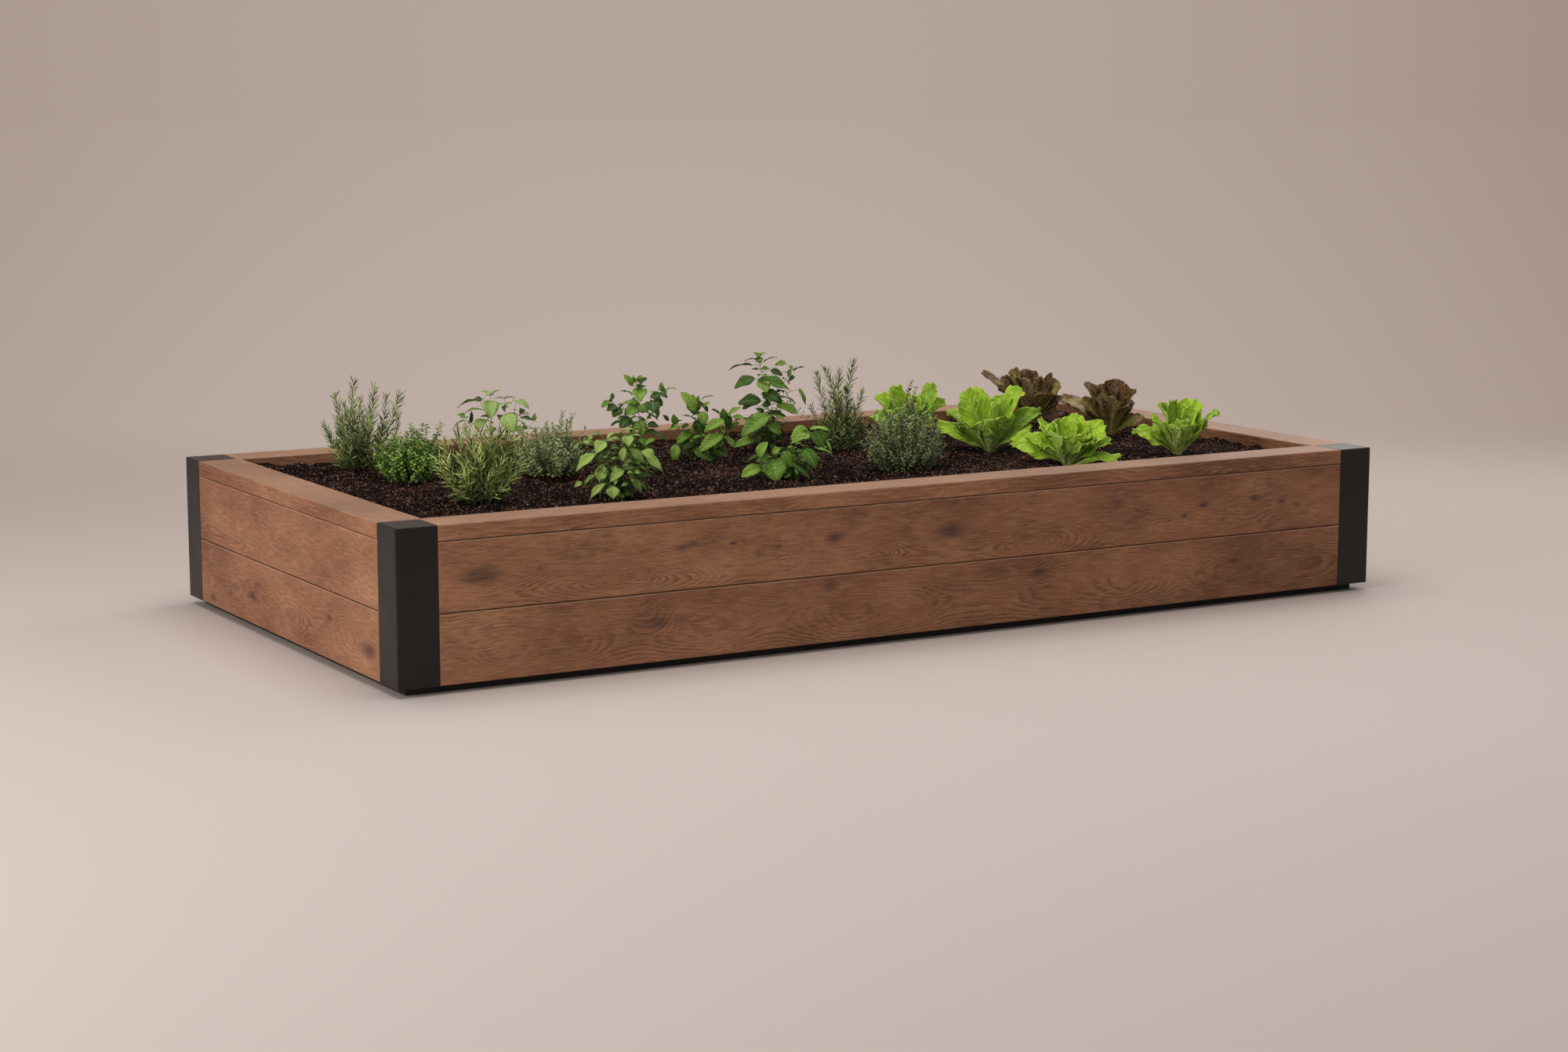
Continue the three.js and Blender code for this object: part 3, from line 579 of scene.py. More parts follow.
@dataclass(frozen=True)
class LettuceSkin(Finish):
    """A lettuce leaf: a pale rib that branches into the blade, and crinkles between the veins."""

    name: str
    heart: Colour
    blade: Colour
    shadow: Colour
    rim: Colour
    rib: Colour
    blush: Colour
    blushing: float = 0.0

    def shade(self, nodes: Nodes) -> Link:
        """Builds the leaf."""
        place = nodes.place()
        across, along = nodes.on_leaf()
        tone = nodes.attribute("tone")
        mottle = nodes.cloud(place, 90.0, 3.0, 0.6)
        waver = (nodes.cloud(place, 45.0, 1.0) - 0.5) * 0.35
        rib = nodes.ease(across + along * 0.16, 0.20, 0.10)
        phase = nodes.maths("PINGPONG", (along * 1.1 - across * 0.42) * 8.0 + waver, 0.5)
        lateral = nodes.ease(phase, 0.13, 0.01) * nodes.ease(across, 1.0, 0.6)
        fine = nodes.maths("PINGPONG", (along * 0.6 + across * 0.8) * 17.0 + waver * 2.0, 0.5)
        side_veins = nodes.maths("MAXIMUM", lateral * 0.95, nodes.ease(fine, 0.1, 0.0) * 0.3)
        veins = nodes.maths("MAXIMUM", rib, side_veins)
        shade = nodes.ease(0.5 - tone * 0.6 + mottle * 0.6, 0.35, 0.95)
        margin = nodes.ease(along * 0.5 + across * 0.6, 0.72, 1.05)
        colour = nodes.layers(self.heart, (nodes.ease(along, 0.02, 0.55), self.blade),
                              (shade * 0.8, self.shadow), (margin * 0.6, self.rim))
        if self.blushing:
            spread = nodes.ease(along * 0.9 + across * 0.4 + mottle * 0.7 - tone * 0.5, 0.45, 1.15)
            colour = nodes.blend(spread * self.blushing, colour, self.blush)
        colour = nodes.layers(colour, (veins * (1.25 - along) * 0.80, self.rib),
                              (nodes.attribute("under") * 0.25, self.rib))
        crinkle = nodes.cloud(place, 110.0, 3.0) * 0.8 + nodes.ease(phase, 0.0, 0.3) * 0.5
        return nodes.principled(colour, mottle * 0.14 + 0.42, {
            "Specular IOR Level": 0.35, "Subsurface Weight": 0.18, "Subsurface Radius": (0.6, 1.0, 0.2),
            "Subsurface Scale": 0.004, "Normal": nodes.bump(crinkle, 0.0022, 0.8)})


# Meshes


@dataclass
class Shell:
    """Collects closed blades into one mesh, with what the leaf finishes read from it."""

    points: list[Vector] = field(default_factory=list)
    faces: list[tuple[int, ...]] = field(default_factory=list)
    places: list[tuple[float, float]] = field(default_factory=list)
    under: list[float] = field(default_factory=list)
    tone: list[float] = field(default_factory=list)

    def blade(self, surface: Callable[[float, float], Vector], steps: tuple[int, int],
              thickness: float, tone: float = 0.5) -> None:
        """Adds a thin closed blade whose two sheets meet along its edge.

        Args:
            surface: the middle surface, from u 0 to 1 along it and v -1 to 1 across it.
            steps: how many faces lie along and across it.
            thickness: how far the sheets lie apart in the middle.
            tone: the blade's own shade, from 0 to 1.
        """
        rows, columns = steps
        reach = 0.01
        sheets: list[dict[tuple[int, int], int]] = [{}, {}]
        for i in range(rows + 1):
            for j in range(columns + 1):
                u, v = i / rows, 2 * j / columns - 1
                middle = surface(u, v)
                along = surface(min(1.0, u + reach), v) - surface(max(0.0, u - reach), v)
                across = surface(u, min(1.0, v + reach)) - surface(u, max(-1.0, v - reach))
                normal = along.cross(across).normalized()
                edge = i in (0, rows) or j in (0, columns)
                for below, sheet in enumerate(sheets):
                    if below and edge:
                        sheet[i, j] = sheets[0][i, j]
                        continue
                    lift = 0.0 if edge else thickness * (0.5 - below)
                    sheet[i, j] = len(self.points)
                    self.points.append(middle + normal * lift)
                    self.places.append((j / columns, u))
                    self.under.append(0.4 if edge else float(below))
                    self.tone.append(tone)
        for below, sheet in enumerate(sheets):
            for i in range(rows):
                for j in range(columns):
                    corners = (sheet[i, j], sheet[i + 1, j], sheet[i + 1, j + 1], sheet[i, j + 1])
                    self.faces.append(corners[::-1] if below else corners)

    def mesh(self, name: str) -> bpy.types.Mesh:
        """The collected blades as a mesh with merged tips and outward faces."""
        mesh = new_mesh(name, self.points, self.faces, under=self.under, tone=self.tone, along=self.tone)
        layer = mesh.uv_layers.new(name="UVMap")
        for loop in mesh.loops:
            layer.data[loop.index].uv = self.places[loop.vertex_index]
        shape = bmesh.new()
        shape.from_mesh(mesh)
        bmesh.ops.remove_doubles(shape, verts=shape.verts, dist=1e-6)
        bmesh.ops.dissolve_degenerate(shape, edges=shape.edges, dist=1e-7)
        bmesh.ops.recalc_face_normals(shape, faces=shape.faces)
        shape.to_mesh(mesh)
        shape.free()
        mesh.shade_smooth()
        return mesh


def new_mesh(name: str, points: list[Vector], faces: list[tuple[int, ...]],
             edges: list[tuple[int, int]] | None = None, **numbers: list[float]) -> bpy.types.Mesh:
    """A mesh with numbers stored on its points."""
    mesh = bpy.data.meshes.new(name)
    mesh.from_pydata(points, edges or [], faces)
    for label, values in numbers.items():
        mesh.attributes.new(label, "FLOAT", "POINT").data.foreach_set("value", values)
    return mesh


def add_object(name: str, mesh: bpy.types.Mesh) -> bpy.types.Object:
    """Puts a mesh into the scene as an object at the origin."""
    made = bpy.data.objects.new(name, mesh)
    bpy.context.scene.collection.objects.link(made)
    return made


def apply_nodes(name: str, base: bpy.types.Object, tree: bpy.types.NodeTree,
                settings: dict[str, object]) -> bpy.types.Object:
    """Runs a geometry tree on an object and keeps the result as a plain mesh.

    Args:
        name: the new piece's name.
        base: the object that the tree starts from, which is removed.
        tree: the geometry tree.
        settings: its inputs by their names.

    Returns:
        The new piece.
    """
    modifier = base.modifiers.new("nodes", "NODES")
    modifier.node_group = tree
    for item in tree.interface.items_tree:
        if item.item_type == "SOCKET" and item.in_out == "INPUT" and item.name in settings:
            modifier[item.identifier] = settings[item.name]
    depsgraph = bpy.context.evaluated_depsgraph_get()
    mesh = bpy.data.meshes.new_from_object(base.evaluated_get(depsgraph), depsgraph=depsgraph)
    base.modifiers.clear()
    bpy.data.objects.remove(base)
    mesh.name = name
    return add_object(name, mesh)


def declare(piece: bpy.types.Object, slot: str, *nodes: str) -> None:
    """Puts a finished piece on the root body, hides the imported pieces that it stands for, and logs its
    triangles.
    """
    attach(piece, "root")
    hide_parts(*nodes)
    piece.data.calc_loop_triangles()
    log.info("%s: %d triangles", piece.name, len(piece.data.loop_triangles))


class GeometryNodes(Nodes):
    """Builds a geometry tree with named inputs."""

    def __init__(self, name: str, inputs: dict[str, str]) -> None:
        """Starts a tree with a geometry input and the named ones, which stand under their kind."""
        super().__init__(bpy.data.node_groups.new(name, "GeometryNodeTree"))
        sockets = self.tree.interface
        sockets.new_socket("Geometry", in_out="INPUT", socket_type="NodeSocketGeometry")
        for kind, labels in inputs.items():
            for label in labels.split(", "):
                sockets.new_socket(label, in_out="INPUT", socket_type=f"NodeSocket{kind}")
        sockets.new_socket("Geometry", in_out="OUTPUT", socket_type="NodeSocketGeometry")
        self.entry = self.node("NodeGroupInput")

    def given(self, label: str) -> Link:
        """One of the tree's inputs."""
        return Link(self, self.entry.outputs[label])

    def stored(self, label: str) -> Link:
        """A number stored on the geometry."""
        return self.out("GeometryNodeInputNamedAttribute", {"Name": label}, data_type="FLOAT")

    def store(self, geometry: Link, label: str, value: Term, domain: str = "POINT") -> Link:
        """The geometry with a number stored on it."""
        return self.out("GeometryNodeStoreNamedAttribute", {
            "Geometry": geometry, "Name": label, "Value": value}, data_type="FLOAT", domain=domain)

    def between(self, low: str, high: str, share: Link) -> Link:
        """A number from one input's, at a share of 0, to another's at 1."""
        return self.given(low) + (self.given(high) - self.given(low)) * share

    def chance(self, salt: int, low: Term = -1.0, high: Term = 1.0) -> Link:
        """A number between two others that differs from element to element but never changes."""
        seed = self.given("Seed") + float(salt)
        return self.out("FunctionNodeRandomValue", {2: low, 3: high, "Seed": seed}, 1, data_type="FLOAT")

    def vector(self, *parts: Term) -> Link:
        """A vector from its three parts."""
        return self.out("ShaderNodeCombineXYZ", dict(enumerate(parts)))

    def turned(self, rotation: Link | None, angles: Link, axis: Link | None = None) -> Link:
        """A rotation that stands on an axis and is then turned in its own frame."""
        if axis:
            rotation = self.out("FunctionNodeAlignRotationToVector", {"Vector": axis}, axis="Z")
        by = self.out("FunctionNodeEulerToRotation", {0: angles})
        return self.out("FunctionNodeRotateRotation", {0: rotation, 1: by}, rotation_space="LOCAL")

    def finish(self, geometry: Link) -> bpy.types.NodeTree:
        """Ends the tree with its result."""
        self.node("NodeGroupOutput", {"Geometry": geometry})
        return self.tree

    def copies(self, points: Link, item: str, salt: int, sockets: Sockets) -> Link:
        """Copies of an object that is one of the tree's inputs, each with its own tone by chance."""
        shape = self.out("GeometryNodeObjectInfo", {"Object": self.given(item)}, "Geometry")
        copies = self.out("GeometryNodeInstanceOnPoints", {"Points": points, "Instance": shape, **sockets})
        return self.store(copies, "tone", self.chance(salt, 0.0), "INSTANCE")

    def skinned(self, geometry: Link, skin: str, chosen: Link | bool = True) -> Link:
        """The geometry with a material, that is one of the tree's inputs, on its chosen faces."""
        return self.out("GeometryNodeSetMaterial", {
            "Geometry": geometry, "Selection": chosen, "Material": self.given(skin)})


def foliage_tree() -> bpy.types.NodeTree:
    """The tree that turns lines into stems and clothes them with leaves.

    Returns:
        A tree for a mesh of lines that stores along, girth and vigour.
    """
    nodes = GeometryNodes("Foliage", {
        "Object": "Leaf", "Int": "Whorl, Seed", "Material": "Leaf skin, Stem skin",
        "Float": "Spacing, Turn, Foot length, Tip length, Foot pitch, Tip pitch, Scatter, Roll, Bare"})
    lines = nodes.out("GeometryNodeMeshToCurve", {"Mesh": nodes.given("Geometry")})
    ring = nodes.out("GeometryNodeCurvePrimitiveCircle", {"Resolution": 5, "Radius": 1.0})
    stems = nodes.out("GeometryNodeCurveToMesh", {
        "Curve": lines, "Profile Curve": ring, "Scale": nodes.stored("girth"), "Fill Caps": True})
    stems = nodes.store(stems, "blade", 0.0)
    joints = nodes.node("GeometryNodeCurveToPoints", {"Curve": lines, "Length": nodes.given("Spacing")},
                        mode="LENGTH")
    tangent = Link(nodes, joints.outputs["Tangent"])
    order = nodes.out("GeometryNodeInputIndex")
    spots = nodes.store(Link(nodes, joints.outputs["Points"]), "order", order)
    whorls = nodes.node("GeometryNodeDuplicateElements", {
        "Geometry": spots, "Amount": nodes.given("Whorl")}, domain="POINT")
    number = Link(nodes, whorls.outputs["Duplicate Index"])
    along = nodes.stored("along")
    scatter = nodes.given("Scatter")
    spin = (nodes.stored("order") * nodes.given("Turn") + number * math.tau / nodes.given("Whorl")
            + nodes.chance(1) * scatter)
    pitch = nodes.between("Foot pitch", "Tip pitch", along) + nodes.chance(2) * scatter
    size = nodes.between("Foot length", "Tip length", along) * nodes.stored("vigour")
    size = size * nodes.chance(3, 0.8, 1.15)
    turn = nodes.turned(None, nodes.vector(nodes.chance(4) * scatter * 0.7, pitch, spin), tangent)
    turn = nodes.turned(turn, nodes.vector(0.0, 0.0, nodes.chance(6) * nodes.given("Roll")))
    clothed = nodes.maths("GREATER_THAN", along, nodes.given("Bare"))
    clothed = clothed * nodes.maths("GREATER_THAN", nodes.stored("vigour"), 0.1)
    leaves = nodes.copies(Link(nodes, whorls.outputs["Geometry"]), "Leaf", 5, {
        "Rotation": turn, "Selection": clothed, "Scale": nodes.vector(size, size, size)})
    leaves = nodes.store(leaves, "blade", 1.0, "INSTANCE")
    whole = nodes.out("GeometryNodeJoinGeometry", {"Geometry": [stems, leaves]})
    real = nodes.out("GeometryNodeRealizeInstances", {"Geometry": whole})
    is_leaf = nodes.maths("GREATER_THAN", nodes.stored("blade"), 0.5)
    return nodes.finish(nodes.skinned(nodes.skinned(real, "Leaf skin", is_leaf), "Stem skin", 1 - is_leaf))


def scatter_tree() -> bpy.types.NodeTree:
    """The tree that strews crumbs over a surface.

    Returns:
        A tree for the surface's mesh.
    """
    nodes = GeometryNodes("Scatter", {
        "Object": "Crumb", "Int": "Seed", "Material": "Skin", "Float": "Density, Least, Most, Rarity"})
    spots = nodes.out("GeometryNodeDistributePointsOnFaces", {
        "Mesh": nodes.given("Geometry"), "Density": nodes.given("Density"), "Seed": nodes.given("Seed")})
    size = nodes.between("Least", "Most", nodes.chance(1, 0.0) ** nodes.given("Rarity"))
    angles = nodes.vector(*(nodes.chance(salt, 0.0, math.tau) for salt in (2, 3, 4)))
    rotation = nodes.out("FunctionNodeEulerToRotation", {0: angles})
    scale = nodes.vector(size * nodes.chance(5, 0.8, 1.6), size, size * nodes.chance(6, 0.5, 0.9))
    crumbs = nodes.copies(spots, "Crumb", 7, {"Rotation": rotation, "Scale": scale})
    real = nodes.out("GeometryNodeRealizeInstances", {"Geometry": crumbs})
    return nodes.finish(nodes.skinned(real, "Skin"))


# The box


# A knot's row holds what Knot takes, in millimetres. The right and the back have the plain ones.
KNOTS: dict[str, tuple[tuple[float, float, float], ...]] = {
    "front_upper": (
        (-1026, 226, 26), (-586, 244, 11), (-560, 250, 6), (-470, 243, 5), (-410, 217, 7),
        (-365, 228, 6), (-231, 235, 13), (58, 229, 24), (484, 253, 12), (667, 212, 7), (721, 233, 8),
        (864, 238, 9), (943, 225, 7), (989, 213, 6)),
    "front_lower": ((-640, 96, 14), (-240, 136, 10), (280, 119, 12), (810, 100, 9)),
    "left_lower": ((442, 35, 12), (328, 62, 7), (190, 78, 18), (-253, 103, 8), (-457, 71, 20)),
    "upper": ((-420, 232, 16), (-120, 205, 8), (260, 240, 12)),
    "lower": ((470, 60, 14), (-310, 90, 10))}


@dataclass
class Box:
    """The timber box: walls, rails, posts, and what the soil hides."""

    half_length: float = 1.2
    half_width: float = 0.6
    post_half: float = 0.044
    stave_top: float = 0.2150
    seed_step: float = 7.0

    @staticmethod
    def knots(board: str) -> tuple[Knot, ...]:
        """The knots of a side's upper or lower board."""
        side, course = board.split("_")
        rows = KNOTS.get(board, () if side == "left" else KNOTS[course])
        return tuple(Knot(*(value * MM for value in row)) for row in rows)

    def walls(self) -> None:
        """Dresses the boards and the rails."""
        sides = (("front", Run.ALONG, -self.half_width), ("right", Run.ACROSS, self.half_length),
                 ("back", Run.ALONG, self.half_width), ("left", Run.ACROSS, -self.half_length))
        for number, (side, run, face) in enumerate(sides):
            lower, upper, rail = (f"{side}_{part}" for part in ("board_1", "board_2", "rail"))
            low_seam, high_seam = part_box(upper)[0].z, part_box(rail)[0].z
            calm = {"smoky": 0.10, "contrast": 0.30} if side == "left" else {}
            seed = self.seed_step * number
            Timber(f"{side}_lower_oak", run, face, (0.075, 0.075), seed + 3.0, self.knots(f"{side}_lower"),
                   seams=(low_seam,), wander=0.03, sway=0.05, **calm).dress(lower)
            Timber(f"{side}_upper_oak", run, face, (0.345, 0.110), seed + 5.0, self.knots(f"{side}_upper"),
                   (0.186, 0.022), self.stave_top, (low_seam, high_seam), wander=0.02,
                   stave_sway=0.05 if calm else 0.13, **calm).dress(upper)
            Timber(f"{side}_rail_oak", run, face, (0.275, 0.085), seed + 6.5, seams=(high_seam,),
                   sheen_top=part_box(rail)[1].z, contrast=0.32, smoky=0.15).dress(rail)
            log.info("%s wall dressed", side)

    def posts(self) -> None:
        """Dresses the corner posts and the brackets behind them."""
        for end, x in (("left", -self.half_length), ("right", self.half_length)):
            for edge, y in (("front", -self.half_width), ("back", self.half_width)):
                centre = tuple(value - math.copysign(self.post_half, value) for value in (x, y))
                coat = PowderCoat(f"{edge}_{end}_coat", centre, self.post_half)
                coat.dress(f"{edge}_{end}_post")
                coat.dress(f"{edge}_{end}_bracket")
        log.info("posts and brackets dressed")

    def hidden(self) -> None:
        """Dresses the plinth, the base and the liner."""
        black = (paint(30, 27, 25), paint(14, 12, 12))
        sawn = (paint(176, 142, 104), paint(128, 96, 66))
        lengthwise, crosswise = (1.0, 12.0, 12.0), (12.0, 1.0, 12.0)
        for name, colours, grain, starts in (
                ("plinth_stain_long", black, lengthwise, ("front_plinth", "back_plinth")),
                ("plinth_stain_short", black, crosswise, ("left_plinth", "right_plinth")),
                ("base_board_pine", sawn, lengthwise, "base_board"),
                ("bearer_pine", sawn, crosswise, "bearer")):
            finish = SawnTimber(name, *colours, grain)
            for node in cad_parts:
                if node.startswith(starts):
                    finish.dress(node)
        Plastic("liner_sheet").dress("liner")
        log.info("plinth, base and liner dressed")

    def build(self) -> None:
        """Dresses the whole box."""
        self.walls()
        self.posts()
        self.hidden()


@dataclass
class Soil:
    """The compost: a crumbly bed with loose crumbs and pale grit on it."""

    half_length: float = 1.1040
    half_width: float = 0.5040
    level: float = 0.3099
    mounds: tuple[float, float] = (0.004, 0.290)
    clods: tuple[float, float] = (0.004, 0.110)
    # Each roughness: where in the noise it lies, how fine it is, and how high in metres.
    roughness: tuple[tuple[float, float, float], ...] = (
        (0.3, 26, 0.0068), (4.1, 75, 0.0046), (7.7, 190, 0.0026))
    sunk: float = 0.0030
    tone: float = 0.25
    cells: tuple[int, int] = (420, 190)
    crumbs_per_square: float = 20000.0
    clods_per_square: float = 700.0
    grit_per_square: float = 6000.0

    def height(self, x: float, y: float) -> float:
        """The mounds and the main clods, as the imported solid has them."""
        level = self.level
        for rise, pitch in (self.mounds, self.clods):
            turn = math.tau / pitch
            along = math.sin(turn * x + 1.3 * math.sin(turn * y))
            across = math.sin(1.3 * turn * y + 0.8 * math.sin(0.7 * turn * x))
            level += rise * (along + across) / 2
        return level

    def surface(self, x: float, y: float) -> float:
        """The height with its clods and hollows."""
        level = self.height(x, y)
        for salt, scale, rise in self.roughness:
            level += noise.noise(Vector((x, y, salt)) * scale) * rise
        return level - self.sunk

    def grid(self, name: str, closed: bool) -> bpy.types.Object:
        """The surface, with walls and an underside if it is closed."""
        columns, rows = self.cells
        points = []
        for i in range(columns + 1):
            x = self.half_length * (2 * i / columns - 1)
            for j in range(rows + 1):
                y = self.half_width * (2 * j / rows - 1)
                points.append(Vector((x, y, self.surface(x, y))))
        step = rows + 1
        faces = [(i * step + j, (i + 1) * step + j, (i + 1) * step + j + 1, i * step + j + 1)
                 for i in range(columns) for j in range(rows)]
        if closed:
            self.close(points, faces)
        mesh = new_mesh(name, points, faces, tone=[self.tone] * len(points))
        mesh.shade_smooth()
        return add_object(name, mesh)

    def close(self, points: list[Vector], faces: list[tuple[int, ...]]) -> None:
        """Adds walls and an underside to the surface's points and faces."""
        columns, rows = self.cells
        step = rows + 1
        rim = [i * step for i in range(columns)] + [columns * step + j for j in range(rows)]
        rim += [i * step + rows for i in range(columns, 0, -1)] + list(range(rows, 0, -1))
        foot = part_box("soil")[0].z
        start = len(points)
        around = len(rim)
        points.extend([Vector((points[k].x, points[k].y, foot)) for k in rim])
        for k in range(around):
            after = (k + 1) % around
            faces.append((rim[k], start + k, start + after, rim[after]))
        faces.append(tuple(start + k for k in range(around - 1, -1, -1)))

    @staticmethod
    def crumb(corners: int) -> bpy.types.Object:
        """An angular crumb of unit size: two uneven pyramids base to base."""
        chance = random.Random(corners)
        ring = [Vector((math.cos(k * math.tau / corners), math.sin(k * math.tau / corners), 0.0))
                * chance.uniform(0.36, 0.58) + UP * chance.uniform(-0.12, 0.12) for k in range(corners)]
        points = [*ring, Vector((0.10, -0.06, 0.50)), Vector((-0.08, 0.05, -0.46))]
        faces = []
        for k in range(corners):
            after = (k + 1) % corners
            faces += [(k, after, corners), (after, k, corners + 1)]
        return add_object("crumb", new_mesh("crumb", points, faces))

    def strew(self, name: str, crumb: bpy.types.Object, density: float, sizes: tuple[float, float],
              rarity: float, seed: int, skin: bpy.types.Material) -> None:
        """Strews crumbs over the soil.

        Args:
            name: the piece's name.
            crumb: one crumb at unit size.
            density: how many lie on a square metre.
            sizes: the least and the greatest size, in metres.
            rarity: the higher it is, the fewer large crumbs there are.
            seed: what sets this strewing apart.
            skin: the crumbs' material.
        """
        piece = apply_nodes(name, self.grid("ground", closed=False), scatter_tree(), {
            "Crumb": crumb, "Density": density, "Least": sizes[0], "Most": sizes[1], "Rarity": rarity,
            "Seed": seed, "Skin": skin})
        declare(piece, "soil")

    def build(self) -> None:
        """Makes the bed of soil and strews it."""
        compost = Compost("compost").material()
        bed = self.grid("soil_bed", closed=True)
        bed.data.materials.append(compost)
        declare(bed, "soil", "soil")
        small = self.crumb(4)
        large = self.crumb(6)
        self.strew("soil_crumbs", small, self.crumbs_per_square, (0.0024, 0.0068), 1.8, 11, compost)
        self.strew("soil_clods", large, self.clods_per_square, (0.0060, 0.0120), 2.0, 17, compost)
        self.strew("soil_grit", small, self.grit_per_square, (0.0014, 0.0044), 2.6, 23,
                   Grit("grit").material())
        for crumb in (small, large):
            bpy.data.objects.remove(crumb)


# Plants


def crown_of(node: str) -> Vector:
    """Where a plant stands: the middle of its root ball, at the soil over it."""
    points = [vertex.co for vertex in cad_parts[node].data.vertices]
    foot = min(point.z for point in points)
    low = [point for point in points if point.z < foot + MM]
    x, y = ((min(p[axis] for p in low) + max(p[axis] for p in low)) / 2 for axis in (0, 1))
    return Vector((x, y, foot + ROOT_DEPTH))


def offset(right: float, up: float, away: float) -> Vector:
    """A step in millimetres to the right, up and away, as the photograph sees the plant."""
    return (SCREEN_RIGHT * right + UP * up + SCREEN_AWAY * away) * MM


def seen(right: float, rise: float, away: float) -> Vector:
    """A step in millimetres whose rise is the one that the camera sees, whatever its depth."""
    return offset(right, rise / math.cos(CAMERA_DIP) - away * math.tan(CAMERA_DIP), away)


LOOKED_DOWN = math.radians(25)
FACING = UP * math.sin(LOOKED_DOWN) - SCREEN_AWAY * math.cos(LOOKED_DOWN)
# Other leaves hide a part of most drawn leaves, so each is made longer and broader than it shows.
HIDDEN_LENGTH = 1.12
HIDDEN_BREADTH = 1.26
# From this turn in degrees a drawn leaf shows its edge, so its breadth is a share of its length.
EDGE_ON = 60
EDGE_ON_BREADTH = 0.42
# The lowest drawn leaves stand this many millimetres nearer to the viewer than the highest.
LOW_NEARER = 34
# A leaf is at least this much longer than broad, and what doesn't show of it points at the viewer.
LEAST_SLIMNESS = 1.3


@dataclass(frozen=True)
class Leaf:
    """A leaf's shape, in shares of its length."""

    breadth: float
    broadest: float = 0.42
    roundness: float = 0.8
    fold: float = 0.25
    droop: float = 0.7
    ripple: float = 0.02
    teeth: float = 0.0
    tooth_count: int = 9
    petiole: float = 0.0
    thickness: float = 0.02
    steps: tuple[int, int] = (6, 4)

    def half(self, u: float) -> float:
        """The half breadth from the foot to the tip, as a share of the widest."""
        share = max(0.0, (u - self.petiole) / (1 - self.petiole))
        power = math.log(0.5) / math.log(self.broadest)
        width = max(0.0, math.sin(math.pi * share ** power)) ** self.roundness
        if 0.05 < share < 0.97:
            width *= 1 + self.teeth * math.sin(u * math.tau * self.tooth_count)
        return max(width, 0.06 if u < 0.9 else 0.0)

    def surface(self, u: float, v: float) -> Vector:
        """The leaf's middle surface. It grows along +Z and droops towards +X."""
        bend = self.droop * u
        centre = Vector(((1 - math.cos(bend)) / self.droop, 0.0, math.sin(bend) / self.droop))
        upper = Vector((-math.cos(bend), 0.0, math.sin(bend)))
        half = self.breadth / 2 * self.half(u)
        lift = half * abs(v) * math.sin(self.fold) + self.ripple * abs(v) * math.sin(9 * u + 2 * v)
        return centre + Vector((0.0, v * half * math.cos(self.fold), 0.0)) + upper * lift

    def build(self) -> bpy.types.Object:
        """The leaf at unit length, as an object for a geometry tree."""
        shell = Shell()
        shell.blade(self.surface, self.steps, self.thickness)
        mesh = shell.mesh("leaf")
        for label in ("tone", "along"):
            mesh.attributes.remove(mesh.attributes[label])
        return add_object("leaf", mesh)


@dataclass(frozen=True)
class DrawnLeaf:
    """A leaf as it shows: its foot and tip in millimetres to the right of the crown and above it, its
    breadth, how far it turns its edge to the viewer in degrees, and its shade from 0 to 1, which is painted
    light and shade: a lit leaf gets a light shade, a shaded one a dark shade."""

    right: float
    rise: float
    tip_right: float
    tip_rise: float
    breadth: float
    tilt: float
    # Painted light and shade: dark for a leaf that lies in shade, light for one that lies lit.
    tone: float

    def ends(self, height: float, chance: random.Random) -> tuple[Vector, Vector]:
        """The foot and the tip from the crown. Low leaves lie nearer, and a short broad one points nearer.

        Args:
            height: the plant's height in millimetres.
            chance: the plant's own chance.

        Returns:
            The foot and the tip.
        """
        away = chance.uniform(-12, 12) - LOW_NEARER * (1 - self.rise / height)
        shown = math.hypot(self.tip_right - self.right, self.tip_rise - self.rise)
        hidden = math.sqrt(max(0.0, (LEAST_SLIMNESS * self.breadth) ** 2 - shown ** 2))
        nearer = away - hidden * 0.8 - chance.uniform(0, 0.25) * shown
        foot = seen(self.right, self.rise, away)
        tip = seen(self.tip_right, self.tip_rise, nearer)
        foot.z = max(foot.z, 0.004)
        tip.z = max(tip.z, 0.003)
        return foot, tip

    def add(self, shell: Shell, shape: Leaf, foot: Vector, tip: Vector, number: int) -> None:
        """Adds the leaf.

        Args:
            shell: takes the leaf.
            shape: the species' leaf.
            foot: where the blade starts.
            tip: where it ends.
            number: which leaf it is, which sets its ripples.
        """
        ahead = tip - foot
        length = ahead.length * HIDDEN_LENGTH
        ahead.normalize()
        upper = (FACING - ahead * FACING.dot(ahead)).normalized()
        side = upper.cross(ahead)
        turn = math.radians(self.tilt) * (-1 if side.z * upper.z > 0 else 1)
        upper = Quaternion(ahead, turn) @ upper
        side = upper.cross(ahead)
        edge_on = EDGE_ON_BREADTH * length if self.tilt >= EDGE_ON else 0.0
        breadth = max(self.breadth * MM * HIDDEN_BREADTH, edge_on)
        arch = 0.11 * length
        phase = number * 1.7
        fold = shape.fold * (0.7 + 0.6 * self.tone)

        def surface(u: float, v: float) -> Vector:
            """A point of the blade's middle surface."""
            half = breadth / 2 * shape.half(u)
            quilt = 0.014 * breadth * math.sin(u * 34 - abs(v) * 7) * min(abs(v) * 3, 1) * (1 - v * v)
            wave = shape.ripple * length * abs(v) ** 2 * math.sin(11 * u + 2 * v + phase)
            lift = arch * 4 * u * (1 - u) + half * abs(v) * math.sin(fold) + quilt + wave
            return foot + ahead * (length * u) + side * (v * half * math.cos(fold)) + upper * lift

        shell.blade(surface, shape.steps, 0.5 * MM, self.tone)


